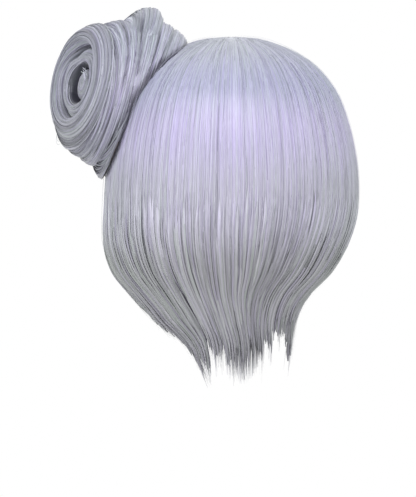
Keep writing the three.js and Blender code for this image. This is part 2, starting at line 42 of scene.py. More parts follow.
def toLinear(hexColour):
    # sRGB hex to linear RGBA
    parts = [int(hexColour[i:i + 2], 16) / 255 for i in (1, 3, 5)]
    return tuple(c / 12.92 if c <= 0.04045 else ((c + 0.055) / 1.055) ** 2.4 for c in parts) + (1.0,)


def addNode(tree, kind, settings=None, links=None):
    # one shader node: settings are its own values or its sockets' values, and links feed its inputs
    node = tree.nodes.new(kind)
    for name, value in (settings or {}).items():
        if isinstance(name, int) or name in node.inputs:
            node.inputs[name].default_value = value
        else:
            setattr(node, name, value)
    for name, source in (links or {}).items():
        tree.links.new(source, node.inputs[name])
    return node


def smoothStep(low, high, x):
    # 0 below low, 1 above high, and 3t^2 - 2t^3 between
    t = np.clip((x - low) / (high - low), 0, 1)
    return t * t * (3 - 2 * t)


def unit(vectors):
    # the vectors divided by their lengths
    return vectors / np.maximum(np.linalg.norm(vectors, axis=-1, keepdims=True), 1e-12)


def crowned(share, power):
    # a rounded hump from 0 at the ends over 1 in the middle: (4 q (1 - q)) to a power
    return (4 * share * (1 - share)) ** power


def throughRows(values, place):
    # smooth curve through the rows of a column (Catmull-Rom), at places counted in rows
    last = len(values) - 1
    row = np.clip(np.floor(place).astype(int), 0, last - 1)
    t = np.clip(place - row, 0, 1)
    a = values[np.maximum(row - 1, 0)]
    b = values[row]
    c = values[row + 1]
    d = values[np.minimum(row + 2, last)]
    return b + 0.5 * t * (c - a + t * (2 * a - 5 * b + 4 * c - d + t * (3 * (b - c) + d - a)))


# The form of the hair, the same as the solids have, in millimetres, with edges in places and degrees
hairForm = {
    "width": 220, "back": 120, "front": 112, "lift": 18, "drop": 297,
    "headWidth": 152, "headLength": 192, "headCrown": 95, "lay": 2.3, "innerSway": 0.4,
    "fringeDrop": 112, "jawDrop": 226, "backDrop": 272, "napeDrop": 293,
    "crownEdge": 2.0, "backEdge": 45.0, "sideEdge": 123.75, "napeEdge": 41.25,
}
# from the crown down: drop, side, back, front, sway, then the inner form's tilt, hang, side, back, front
profileRows = np.array([
    (0, 0, 0, 0, 0, 0, 0, 1, 1, 1),
    (0.009, 0.22, 0.235, 0.235, 0, 16, 0, 1, 1, 1),
    (0.026, 0.365, 0.385, 0.385, 0, 27, 0, 1, 1, 1),
    (0.047, 0.49, 0.5, 0.5, 0, 36, 0, 1, 1, 1),
    (0.077, 0.62, 0.635, 0.63, 0, 46, 0, 1, 1, 1),
    (0.114, 0.725, 0.74, 0.735, 0, 55, 0, 1, 1, 1),
    (0.162, 0.82, 0.835, 0.83, 0, 64, 0, 1, 1, 1),
    (0.222, 0.89, 0.9, 0.9, 0, 73, 0, 1, 1, 1),
    (0.303, 0.95, 0.955, 0.955, 0, 83, 0, 1, 1, 1),
    (0.397, 0.985, 0.99, 0.99, 0, 90, 0.02, 1, 1, 1),
    (0.498, 0.99, 1, 1, 0.01, 90, 0.118, 1, 0.99, 1),
    (0.589, 0.955, 0.96, 0.965, 0.044, 90, 0.209, 0.97, 0.94, 0.97),
    (0.673, 0.855, 0.86, 0.9, 0.075, 90, 0.286, 0.89, 0.855, 0.9),
    (0.741, 0.69, 0.765, 0.82, 0.09, 90, 0.357, 0.78, 0.775, 0.82),
    (0.808, 0.565, 0.68, 0.74, 0.06, 90, 0.424, 0.69, 0.71, 0.74),
    (0.882, 0.49, 0.615, 0.66, 0.01, 90, 0.498, 0.62, 0.675, 0.66),
    (1, 0.45, 0.56, 0.6, 0, 90, 0.62, 0.59, 0.655, 0.6),
])
profileNames = ["drop", "side", "back", "front", "sway",
                "tilt", "hang", "innerSide", "innerBack", "innerFront"]
profile = {name: profileRows[:, i] for i, name in enumerate(profileNames)}
lastPlace = len(profileRows) - 1
finePlaces = np.linspace(0, lastPlace, 3201)
fineDrops = throughRows(profile["drop"], finePlaces) * hairForm["drop"]


def placeAtDrop(drop):
    # place in the profile that lies a given drop below the crown
    return np.interp(drop, fineDrops, finePlaces)


def outerForm(azimuth, place):
    # a point goes round an ellipse by azimuth from the back, whose size and height the profile gives
    turn = np.radians(azimuth)
    isBack = np.cos(turn) >= 0
    depth = np.where(isBack, throughRows(profile["back"], place) * hairForm["back"],
                     throughRows(profile["front"], place) * hairForm["front"])
    across = throughRows(profile["side"], place) * hairForm["width"] / 2
    sway = throughRows(profile["sway"], place) * hairForm["width"] / 2
    height = hairForm["lift"] - throughRows(profile["drop"], place) * hairForm["drop"]
    return np.stack([across * np.sin(turn) + sway, depth * np.cos(turn), height], -1) * mm


def innerForm(azimuth, place):
    # the same round the head: an ellipsoid by tilt from the crown, which hangs free below its widest level
    turn = np.radians(azimuth)
    tilt = np.radians(throughRows(profile["tilt"], place))
    width = (hairForm["headWidth"] / 2 + hairForm["lay"]) * throughRows(profile["innerSide"], place)
    share = np.where(np.cos(turn) >= 0, throughRows(profile["innerBack"], place),
                     throughRows(profile["innerFront"], place))
    length = (hairForm["headLength"] / 2 + hairForm["lay"]) * share
    sway = hairForm["innerSway"] * throughRows(profile["sway"], place) * hairForm["width"] / 2
    hang = throughRows(profile["hang"], place) * hairForm["drop"]
    height = (hairForm["headCrown"] + hairForm["lay"]) * np.cos(tilt) - hairForm["headCrown"] - hang
    x = width * np.sin(tilt) * np.sin(turn) + sway
    return np.stack([x, length * np.sin(tilt) * np.cos(turn), height], -1) * mm


def outwardWay(azimuth, place):
    # the form's normal, from the cross product of small steps round it and down it
    place = np.maximum(place, 0.05)
    around = outerForm(azimuth + 0.5, place) - outerForm(azimuth - 0.5, place)
    down = outerForm(azimuth, place + 0.05) - outerForm(azimuth, place - 0.05)
    return unit(np.cross(around, down))


# Locks: long clumps of fibre side by side round the head, in two sizes, their widths in degrees
lockSizes = {"wide": (1.6, 4.9), "narrow": (0.45, 1.5), "seed": 12}


def makeLocks(low, high, seed):
    # random widths in degrees, made to close on the full circle
    draw = np.random.default_rng(seed)
    widths = []
    while sum(widths) < 360:
        widths.append(draw.uniform(low, high))
    edges = np.concatenate([[0], np.cumsum(widths)])
    edges *= 360 / edges[-1]
    count = len(widths)
    names = ["start", "depth", "proud", "reach", "tone", "bend"]
    return {"edges": edges, **{name: draw.uniform(-1, 1, count) for name in names}}


wideLocks = makeLocks(*lockSizes["wide"], lockSizes["seed"])
narrowLocks = makeLocks(*lockSizes["narrow"], lockSizes["seed"] + 1)


def inLock(locks, azimuth):
    # which lock an azimuth is in, and how far across it
    turn = np.mod(azimuth, 360)
    index = np.clip(np.searchsorted(locks["edges"], turn, side="right") - 1, 0, len(locks["depth"]) - 1)
    start = locks["edges"][index]
    return index, (turn - start) / (locks["edges"][index + 1] - start)


def hairRelief(azimuth, place):
    # height of the fibre over the plain form in mm: rounded locks with grooves between, deeper near the hem
    wide, q = inLock(wideLocks, azimuth)
    narrow, p = inLock(narrowLocks, azimuth)
    roundWide = crowned(q, 0.5)
    roundNarrow = crowned(p, 0.6)
    start = 7.5 + 2.2 * wideLocks["start"][wide]
    grow = 0.04 + 0.96 * smoothStep(start, start + 5, place)
    low = smoothStep(9, 14, place)
    deep = (0.8 + 1.9 * low) * (1 + 0.5 * wideLocks["depth"][wide])
    height = -deep * grow * (1 - roundWide) + 1.0 * wideLocks["proud"][wide] * grow * low
    fine = 0.3 + 0.7 * smoothStep(7, 12, place)
    height += -(0.28 + 0.4 * low) * fine * (1 - roundNarrow) + 0.22 * fine * narrowLocks["proud"][narrow]
    return height * smoothStep(0, 2.5, place) - 1.6 * smoothStep(3, 8, place)


def fibreToneAndShade(azimuth, place):
    # lightness of the fibre from 0 to 1: each lock has its own tone, and the grooves between locks are
    # darkened as painted shade
    wide, q = inLock(wideLocks, azimuth)
    narrow, p = inLock(narrowLocks, azimuth)
    low = smoothStep(8.5, 13, place)
    tone = 0.6 + (0.02 + 0.1 * low) * wideLocks["tone"][wide]
    tone += (0.04 + 0.09 * low) * narrowLocks["tone"][narrow]
    # painted shade: darker in the grooves between wide and narrow locks, most of all low down
    tone -= 0.75 * low * (1 - crowned(q, 0.35))
    tone -= (0.03 + 0.3 * low) * (1 - crowned(p, 0.4))
    tone += 0.1 * low
    return np.clip(tone, 0, 1)


# how the back's strands lean, in degrees, and the azimuth of the long point that they gather into
sweep = {"lean": 9.0, "gather": 0.85, "point": 20.5, "right": 3.0}


def swept(azimuth, place):
    # going down, strands lean towards the wearer's right; low on the left they gather into one long point
    leans = smoothStep(-40, 0, azimuth) * (1 - smoothStep(85, 118, azimuth))
    turned = azimuth - sweep["lean"] * smoothStep(9.5, 14.5, place) * leans
    beyond = np.clip(turned - sweep["point"], 0, None) * (1 - smoothStep(84, 118, azimuth))
    turned = turned - beyond * sweep["gather"] * np.clip((place - 14.0) / 1.9, 0, 1) ** 1.15
    back = smoothStep(-60, -20, azimuth) * smoothStep(0, -20, azimuth)
    return turned + sweep["right"] * back * smoothStep(11, 15.5, place)


# Hem: share of the way from the jaw line (0) to the back's length (1), by azimuth from the back
hemTable = {
    "azimuth": [-180, -123.8, -92, -82, -72, -60, -45, -20, 0, 18, 30, 45, 56, 64, 70, 78, 90, 123.8, 180],
    "share": [0, 0, 0.4, 0.76, 0.8, 0.68, 0.72, 0.8, 0.86, 1.0, 1.0, 1.04, 1.08, 1.22, 0.9, 0.5, 0.3, 0, 0],
}


def hemPlace(azimuth, drop=None):
    # the profile's place at the hem: each lock narrows to its own point, so the hem is a row of tips
    wide, q = inLock(wideLocks, azimuth)
    narrow, p = inLock(narrowLocks, azimuth)
    turned = np.mod(azimuth + 180, 360) - 180
    if drop is None:
        share = np.interp(turned, hemTable["azimuth"], hemTable["share"])
        drop = hairForm["jawDrop"] + (hairForm["backDrop"] - hairForm["jawDrop"]) * share
    point = 1 - np.abs(2 * q - 1 - 0.3 * wideLocks["bend"][wide])
    tips = 8 * (point - 0.6) + 10 * wideLocks["reach"][wide]
    tips += 4 * (1 - np.abs(2 * p - 1)) + 5 * narrowLocks["reach"][narrow] - 3
    return placeAtDrop(drop + tips)


# Meshes

def buildMesh(name, points, faces, uv=None, tone=None, normals=None, under=None):
    # uv, tone and normals belong to the points; a normal of zero length is worked out from the faces, and a
    # face marked under turns its normals over
    sharpAngle = 80
    mesh = bpy.data.meshes.new(name)
    mesh.from_pydata(points.reshape(-1, 3).tolist(), [], faces)
    loops = np.empty(len(mesh.loops), dtype=np.int32)
    mesh.loops.foreach_get("vertex_index", loops)
    if uv is not None:
        layer = mesh.uv_layers.new(name="fibre")
        layer.data.foreach_set("uv", uv.reshape(-1, 2)[loops].astype(np.float32).ravel())
    if tone is not None:
        layer = mesh.attributes.new("tone", "FLOAT", "POINT")
        layer.data.foreach_set("value", tone.ravel().astype(np.float32))
    mesh.polygons.foreach_set("use_smooth", np.ones(len(mesh.polygons), dtype=bool))
    mesh.set_sharp_from_angle(angle=math.radians(sharpAngle))
    mesh.validate()
    mesh.update()
    if normals is not None:
        sizes = np.empty(len(mesh.polygons), dtype=np.int32)
        mesh.polygons.foreach_get("loop_total", sizes)
        turned = np.where(np.repeat(under, sizes), -1.0, 1.0)
        mesh.normals_split_custom_set(normals[loops] * turned[:, None])
    return mesh


def addObject(name, data):
    # an object at the origin in the scene's own collection
    item = bpy.data.objects.new(name, data)
    bpy.context.scene.collection.objects.link(item)
    return item


def gridFaces(rows, columns, start=0, wrap=False):
    # quads of a grid whose points run row by row
    r, c = np.meshgrid(np.arange(rows - 1), np.arange(columns if wrap else columns - 1), indexing="ij")
    ahead = (c + 1) % columns
    here, below = r * columns, (r + 1) * columns
    return np.stack([here + c, here + ahead, below + ahead, below + c], -1).reshape(-1, 4) + start


def stripFaces(first, second, columns, wrap=False):
    # quads between two rows of points, each given by the number of its first point
    c = np.arange(columns if wrap else columns - 1)
    ahead = (c + 1) % columns
    return np.stack([first + c, first + ahead, second + ahead, second + c], -1).tolist()


def endFaces(first, second, columns):
    # one many-sided face on each of two closed rows, which look away from each other
    return [list(range(first, first + columns))[::-1], list(range(second, second + columns))]


def shellFaces(rows, innerRows, columns):
    # a bowl with thickness: outer and inner closed grids, joined at their last rows and closed at the crown
    start = rows * columns
    faces = gridFaces(rows, columns, 0, True).tolist()
    faces += gridFaces(innerRows, columns, start, True)[:, ::-1].tolist()
    faces += stripFaces((rows - 1) * columns, start + (innerRows - 1) * columns, columns, True)
    return faces + endFaces(0, start, columns)


def roundGrid(rows, columns):
    # a grid's two parameters: share from 0 to 1 down the rows, angle once round along the columns
    angles = np.linspace(0, 2 * np.pi, columns, endpoint=False)[None, :]
    return np.broadcast_arrays(np.linspace(0, 1, rows)[:, None], angles)


class Fibres:
    # gathers the points, faces, uv, tone and normals of one piece
    def __init__(self):
        self.points, self.uv, self.tone, self.normals, self.faces, self.under = [], [], [], [], [], []
        self.count = 0

    def add(self, points, faces, uv, tone, normals=None, under=None):
        self.points.append(points.reshape(-1, 3))
        self.uv.append(uv.reshape(-1, 2))
        self.tone.append(np.broadcast_to(tone, uv.shape[:-1]).ravel())
        self.normals.append(np.zeros_like(self.points[-1]) if normals is None else normals.reshape(-1, 3))
        self.under.append(np.zeros(len(faces), dtype=bool) if under is None else under)
        self.faces += [[i + self.count for i in face] for face in faces]
        self.count += len(self.points[-1])

    def finish(self, name, node, material):
        layers = [np.concatenate(part) for part in (self.uv, self.tone, self.normals, self.under)]
        mesh = buildMesh(name, np.concatenate(self.points), self.faces, *layers)
        declarePiece(name, mesh, material, node)
        print(f"{name}: {sum(len(face) - 2 for face in self.faces)} triangles")


def declarePiece(name, mesh, material, node):
    # the finished piece, which takes the place of its CAD node
    mesh.materials.append(material)
    piece = addObject(name, mesh)
    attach(piece, "root")
    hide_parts(node)


def addWall(fibres, outer, inner, uv, tone):
    # closed wall: the outer grid, an inner grid of fewer rows, and strips round its edges
    rows, columns = outer.shape[:2]
    innerRows = inner.shape[0]
    start = rows * columns
    faces = gridFaces(rows, columns).tolist()
    faces += gridFaces(innerRows, columns, start)[:, ::-1].tolist()
    faces += stripFaces(start, 0, columns)
    faces += stripFaces((rows - 1) * columns, start + (innerRows - 1) * columns, columns)
    left = [r * columns for r in range(rows)] + [start + r * columns for r in range(innerRows)][::-1]
    right = [i + columns - 1 for i in left][::-1]
    faces += [left, right]
    innerUv = np.broadcast_to(uv[:1], (innerRows, columns, 2)) + [0, 0.5]
    # the inner side's low tone is painted shade
    addLayers(fibres, outer, inner, faces, uv, innerUv, tone, 0.22)


def addLayers(fibres, outer, inner, faces, uv, innerUv, tone, innerPaintedShade):
    # an outer and an inner grid as one part, the inner one in one low tone: painted shade on the hidden side
    points = np.concatenate([outer.reshape(-1, 3), inner.reshape(-1, 3)])
    allUv = np.concatenate([uv.reshape(-1, 2), innerUv.reshape(-1, 2)])
    innerSize = inner.shape[0] * inner.shape[1]
    fibres.add(points, faces, allUv, np.concatenate([tone.ravel(), np.full(innerSize, innerPaintedShade)]))


# a strand's height as a share of its width, and how far its shading leans over as if it were round
strandForm = {"thick": 0.45, "roundness": 0.45}


def addStrands(fibres, path, normal, width, tone):
    # solid strands along paths (strand, step): a low three-sided section, narrow at its ends, shaded as round
    strands, steps = path.shape[:2]
    along = unit(np.gradient(path, axis=1))
    across = unit(np.cross(along, normal))
    share = np.linspace(0, 1, steps)
    narrow = np.minimum(smoothStep(0, 0.08, share) * 0.85 + 0.15, 1 - 0.92 * smoothStep(0.72, 1, share))
    half = (width[:, None] * narrow)[..., None] * mm / 2
    ridge = path + normal * half * strandForm["thick"] * 2
    section = np.stack([path - across * half, ridge, path + across * half], 2)
    lean = across * strandForm["roundness"]
    shading = unit(np.stack([normal - lean, normal + np.zeros_like(lean), normal + lean], 2))
    s, k, e = np.meshgrid(np.arange(strands), np.arange(steps - 1), np.arange(3), indexing="ij")
    here = (s * steps + k) * 3
    ahead = (e + 1) % 3
    quads = np.stack([here + e, here + ahead, here + 3 + ahead, here + 3 + e], -1).reshape(-1, 4)
    first = np.arange(strands)[:, None] * steps * 3
    ends = np.concatenate([first + [2, 1, 0], first + (steps - 1) * 3 + [0, 1, 2]])
    # the fibre map: each strand has its own place across, and 100 mm of its length is one unit
    length = np.cumsum(np.linalg.norm(np.diff(path, axis=1, prepend=path[:, :1]), axis=-1), axis=1)
    u = np.arange(strands)[:, None, None] * 0.137 + np.arange(3)[None, None, :] * 0.004
    u = np.broadcast_to(u, (strands, steps, 3))
    v = np.broadcast_to(length[:, :, None] * 10, (strands, steps, 3))
    strandTone = np.broadcast_to(tone.reshape(strands, -1, 1), (strands, steps, 3))
    under = np.concatenate([e.ravel() == 2, np.zeros(len(ends), dtype=bool)])
    fibres.add(section, quads.tolist() + ends.tolist(), np.stack([u, v], -1), strandTone, shading, under)


# Finishes

def startMaterial(name):
    # a material without nodes, and its node tree
    material = bpy.data.materials.new(name)
    material.use_nodes = True
    material.node_tree.nodes.clear()
    return material, material.node_tree


def closeMaterial(tree, settings, links=None):
    # the shader, and the output that it ends in
    shader = addNode(tree, "ShaderNodeBsdfPrincipled", settings, links)
    addNode(tree, "ShaderNodeOutputMaterial", {}, {"Surface": shader.outputs["BSDF"]})


def fillRamp(ramp, stops):
    # stops are (place, hex colour) pairs
    while len(ramp.elements) < len(stops):
        ramp.elements.new(0.5)
    for element, (place, colour) in zip(ramp.elements, stops):
        element.position = place
        element.color = toLinear(colour)


def alongFibre(tree, scale, detail, roughness=0.5):
    # noise drawn out along the fibre; the map has 100 mm to a unit
    fibreMap = addNode(tree, "ShaderNodeUVMap", {"uv_map": "fibre"})
    stretch = addNode(tree, "ShaderNodeMapping", {"Scale": (*scale, 1)}, {"Vector": fibreMap.outputs["UV"]})
    noise = addNode(tree, "ShaderNodeTexNoise", {"Scale": 1.0, "Detail": detail, "Roughness": roughness},
                    {"Vector": stretch.outputs["Vector"]})
    return noise.outputs["Fac"]


# in metres: the heights that the colours by height, partly painted light, run between, the distances from the
# middle between which the sides take their painted shade, and the depth of the grooves between filaments
fibreLook = {"lowest": -0.255, "highest": 0.065, "sideStart": 0.05, "sideEnd": 0.108, "grooveDepth": 0.0003}


def wigFibre(name, shades):
    # heat-set modacrylic wig fibre: long straight filaments with a soft band of light across them
    material, tree = startMaterial(name)
    place = addNode(tree, "ShaderNodeTexCoord")
    # one filament bundle shows about 0.8 mm wide
    streak = alongFibre(tree, (130, 1.1), 4.0, 0.7)
    short = alongFibre(tree, (110, 4), 3.0, 0.65)
    band = alongFibre(tree, (34, 0.7), 2.0)
    # the piece's own tone, with each noise added about its middle
    tone = addNode(tree, "ShaderNodeAttribute", {"attribute_name": "tone"}).outputs["Fac"]
    for noise, strength in ((streak, 0.56), (short, 0.5), (band, 0.08)):
        part = addNode(tree, "ShaderNodeMath", {"operation": "MULTIPLY_ADD", 1: strength, 2: -strength / 2},
                       {0: noise})
        total = addNode(tree, "ShaderNodeMath", {"operation": "ADD"}, {0: tone, 1: part.outputs[0]})
        tone = total.outputs[0]
    height = addNode(tree, "ShaderNodeSeparateXYZ", {}, {"Vector": place.outputs["Object"]})
    # the colours change at slightly other heights from strand to strand
    ragged = addNode(tree, "ShaderNodeMath", {"operation": "MULTIPLY_ADD", 1: 0.05},
                     {0: short, 2: height.outputs["Z"]})
    # colour by height, partly the fibre's own and partly painted light: darker low where the fibre turns down
    # out of the light (painted shade), lighter where the sheen falls (painted highlight)
    heights = {"From Min": fibreLook["lowest"], "From Max": fibreLook["highest"]}
    level = addNode(tree, "ShaderNodeMapRange", heights, {"Value": ragged.outputs[0]})
    light = addNode(tree, "ShaderNodeValToRGB", {}, {"Fac": level.outputs["Result"]})
    light.color_ramp.interpolation = "EASE"
    fillRamp(light.color_ramp, shades["light"])
    # single bundles are a little greener or more violet, and the sides are painted greener and a little
    # darker than the lit lavender middle: painted shade
    bundle = addNode(tree, "ShaderNodeValToRGB", {}, {"Fac": alongFibre(tree, (75, 0.5), 3.0)})
    fillRamp(bundle.color_ramp, [(0.36, shades["green"]), (0.5, "#ffffff"), (0.64, shades["violet"])])
    sideways = addNode(tree, "ShaderNodeMath", {"operation": "ABSOLUTE"}, {0: height.outputs["X"]})
    sides = {"From Min": fibreLook["sideStart"], "From Max": fibreLook["sideEnd"]}
    sideShare = addNode(tree, "ShaderNodeMapRange", sides, {"Value": sideways.outputs[0]})
    sideShade = addNode(tree, "ShaderNodeMix",
                     {"data_type": "RGBA", 6: toLinear("#ffffff"), 7: toLinear(shades["side"])},
                     {"Factor": sideShare.outputs["Result"]})
    multiply = {"data_type": "RGBA", "blend_type": "MULTIPLY", "Factor": 1.0}
    tinted = addNode(tree, "ShaderNodeMix", multiply, {6: light.outputs["Color"], 7: bundle.outputs["Color"]})
    lit = addNode(tree, "ShaderNodeMix", multiply, {6: tinted.outputs[2], 7: sideShade.outputs[2]})
    # low tone turns towards the shade colour: the painted shade of grooves, creases, hollows and hidden
    # sides, and the darker tone of some locks
    dark = addNode(tree, "ShaderNodeMix", {**multiply, 7: toLinear(shades["shade"])}, {6: lit.outputs[2]})
    mix = addNode(tree, "ShaderNodeMix", {"data_type": "RGBA"},
                  {"Factor": tone, 6: dark.outputs[2], 7: lit.outputs[2]})
    groove = {"Strength": shades["groove"], "Distance": fibreLook["grooveDepth"]}
    bump = addNode(tree, "ShaderNodeBump", groove, {"Height": streak})
    tangent = addNode(tree, "ShaderNodeTangent", {"direction_type": "UV_MAP", "uv_map": "fibre"})
    sheen = {"Roughness": shades["roughness"], "IOR": 1.5, "Anisotropic": 0.7, "Specular IOR Level": 0.45,
             "Sheen Weight": 0.12, "Sheen Roughness": 0.4}
    closeMaterial(tree, sheen, {"Base Color": mix.outputs[2], "Normal": bump.outputs["Normal"],
                                "Tangent": tangent.outputs["Tangent"]})
    return material


hairShades = {
    # by height, 0 at the tips and 1 above the crown: grey ends, silver, lavender, cool silver, pale crown;
    # partly the fibre's own
    # pastel and partly painted light: the grey ends are painted shade and the lavender band a painted
    # highlight;
    # groove is how strongly the filaments stand out
    "light": [(0.3, "#949496"), (0.5, "#bab8c4"), (0.68, "#c4bed8"), (0.8, "#b6b8cc"), (0.92, "#c0c4cc")],
    # shade is the colour that low tone turns to, for painted shade and darker locks; side is the painted
    # shade of the sides
    "shade": "#6a6a72", "green": "#f2fbf0", "violet": "#f3eeff", "side": "#fafff6",
    "roughness": 0.36, "groove": 0.35,
}
bunShades = {
    # by height: darker grey low, lavender, silver on top; partly the fibre's own colour and partly painted
    # light, darker low where the bun turns down out of the light (painted shade)
    "light": [(0.6, "#a6a8b0"), (0.8, "#b4b2c2"), (0.94, "#babec8")],
    "shade": "#4e4e56", "green": "#edf8ee", "violet": "#f2ecff", "side": "#ffffff",
    "roughness": 0.38, "groove": 0.4,
}
bunFaceShades = {
    # a greyer copy of the same fibre for the end face, coil and plug, where the lavender sheen does not fall:
    # painted shade
    "light": [(0.6, "#a4a6aa"), (0.84, "#aeb0ba")],
    "shade": "#585860", "green": "#eef8ec", "violet": "#f4efff", "side": "#ffffff",
    "roughness": 0.4, "groove": 0.4,
}
hairFinish = wigFibre("modacrylicHair", hairShades)
bunFinish = wigFibre("modacrylicBun", bunShades)
bunFaceFinish = wigFibre("modacrylicBunFace", bunFaceShades)


# Hair panels

# the width of a column and the wall left at the tips are in mm, and 1.85 mm of hair is taken for a degree
panelLook = {"columnWidth": 0.5, "rows": 56, "innerRows": 14, "tipWall": 1.0, "mmPerDegree": 1.85}
# the fibre map's units for each degree and for each place, 100 mm to a unit
fibreScale = {"across": 0.0185, "down": 0.2}


def fibreUv(azimuth, place):
    # the fibre map of the panels: across by azimuth, down by place
    return np.stack([azimuth * fibreScale["across"], place * fibreScale["down"]], -1)


def panelGrid(fromAzimuth, toAzimuth, first, drop=None):
    # azimuths across a panel, places and shares down it, and a small random height for each column
    columns = int((toAzimuth - fromAzimuth) * panelLook["mmPerDegree"] / panelLook["columnWidth"]) + 1
    azimuth = np.linspace(fromAzimuth, toAzimuth, columns)
    fine = np.random.default_rng(7).uniform(-0.12, 0.12, 7 * columns)[::7]
    hem = hemPlace(azimuth, drop)
    share = np.linspace(0, 1, panelLook["rows"])[:, None]
    place = first + (hem[None, :] - first) * share
    azimuths = np.broadcast_to(azimuth[None, :], place.shape)
    return azimuths, place, share, fine[None, :] * smoothStep(1, 3, place)


def hairPanel(name, fromAzimuth, toAzimuth, first, drop=None, seed=1, amount=1.0):
    # a closed wall of fibre with locks in relief, and loose strands laid over it
    fibres = Fibres()
    azimuth, place, share, jitter = panelGrid(fromAzimuth, toAzimuth, first, drop)
    turned = swept(azimuth, place)
    way = outwardWay(turned, place)
    outer = outerForm(turned, place) + way * (hairRelief(azimuth, place) + jitter)[..., None] * mm
    pick = np.linspace(0, panelLook["rows"] - 1, panelLook["innerRows"]).round().astype(int)
    inner = innerForm(turned[pick], place[pick])
    skin = outer[pick]
    wall = np.linalg.norm(skin - inner, axis=-1, keepdims=True)
    thin = np.clip((share[pick][..., None] - 0.7) / 0.3, 0, 1) ** 2
    taper = np.maximum(1 - panelLook["tipWall"] * mm / wall, 0) * thin
    inner = inner + (skin - inner) * taper
    addWall(fibres, outer, inner, fibreUv(azimuth, place), fibreToneAndShade(azimuth, place))
    draw = np.random.default_rng(seed)
    for kind in strandKinds:
        if drop is None or kind != "lock":
            layStrands(fibres, fromAzimuth, toAzimuth, drop, kind, draw, amount)
    fibres.finish(name, name, hairFinish)


strandKinds = {
    # count per degree, first places, width and height over the form in mm, tone added and its spread, and how
    # loose the tip is
    "fine": {"count": 6.4, "first": (0.25, 9), "width": (0.4, 0.95), "height": (-0.1, 0.35), "tone": 0.02,
             "loose": 1.0, "spread": 0.11},
    "lock": {"count": 2.7, "first": (9.5, 13.2), "width": (0.9, 2.4), "height": (0.1, 1.0), "tone": 0.14,
             "loose": 0.9, "spread": 0.1},
    # shade strands are dark strands that stand in for the shade between strands: painted shade
    "shade": {"count": 2.2, "first": (0.6, 12), "width": (0.35, 0.8), "height": (0.0, 0.25), "tone": -0.42,
              "loose": 0.3, "spread": 0.1},
    "stray": {"count": 0.3, "first": (0.3, 9), "width": (0.25, 0.4), "height": (0.8, 2.6), "tone": 0.2,
              "loose": 2.0, "spread": 0.1},
}


def layStrands(fibres, fromAzimuth, toAzimuth, drop, kind, draw, amount):
    # strands run down the form at their own height, wander a little and end in thin wisps past the hem
    look = strandKinds[kind]
    count = int((toAzimuth - fromAzimuth) * look["count"] * amount)
    steps = 24
    start = draw.uniform(fromAzimuth + 0.4, toAzimuth - 0.4, count)
    first = draw.uniform(0, 1, count) ** (0.75 if kind == "shade" else 1.6)
    first = look["first"][0] + (look["first"][1] - look["first"][0]) * first
    hem = np.clip(hemPlace(start, drop) + draw.uniform(-0.55, 0.4, count), 0, lastPlace)
    if kind == "shade":
        hem = np.minimum(hem, first + draw.uniform(1.0, 4.5, count))
    first = np.minimum(first, hem - 0.8)
    share = np.linspace(0, 1, steps)[None, :]
    place = first[:, None] + (hem - first)[:, None] * share
    swing = np.sin(share * draw.uniform(2, 5, (count, 1)) + draw.uniform(0, 6, (count, 1)))
    kept = start[:, None] + draw.normal(0, 0.35, (count, 1)) * swing
    kept = np.clip(kept, fromAzimuth + 0.1, toAzimuth - 0.1)
    turned = swept(kept, place)
    height = hairRelief(kept, place) + draw.uniform(*look["height"], (count, 1))
    height += look["loose"] * smoothStep(0.75, 1, share) * draw.normal(0, 1.1, (count, 1))
    way = outwardWay(turned, place)
    path = outerForm(turned, place) + way * height[..., None] * mm
    low = 0.45 + 0.55 * smoothStep(8, 12, place)
    added = look["tone"] + draw.normal(0, look["spread"], (count, 1))
    tone = fibreToneAndShade(kept, place) * 0.6 + 0.24 + added * low
    # the tips of all but the shade strands are lighter: a painted highlight where they catch the light
    if kind != "shade":
        tone = tone + 0.2 * smoothStep(0.84, 1, share)
    addStrands(fibres, path, way, draw.uniform(*look["width"], count), np.clip(tone, 0, 1))


def crownHair():
    # the middle of the crown, where the fibre starts from the whorl
    fibres = Fibres()
    columns, rows = 440, 16
    azimuth = np.linspace(-180, 180, columns, endpoint=False)[None, :]
    place = np.linspace(0.004, hairForm["crownEdge"] + 0.02, rows)[:, None]
    azimuths, places = np.broadcast_arrays(azimuth, place)
    way = outwardWay(azimuths, places)
    outer = outerForm(azimuths, places) + way * hairRelief(azimuths, places)[..., None] * mm
    inner = innerForm(azimuths, places)[::5]
    uv = fibreUv(azimuths, places)
    innerUv = np.broadcast_to(uv[:1], (len(inner), columns, 2))
    faces = shellFaces(rows, len(inner), columns)
    # the inner shell's low tone is painted shade
    addLayers(fibres, outer, inner, faces, uv, innerUv, fibreToneAndShade(azimuths, places), 0.3)
    fibres.finish("crown_hair", "crown_hair", hairFinish)


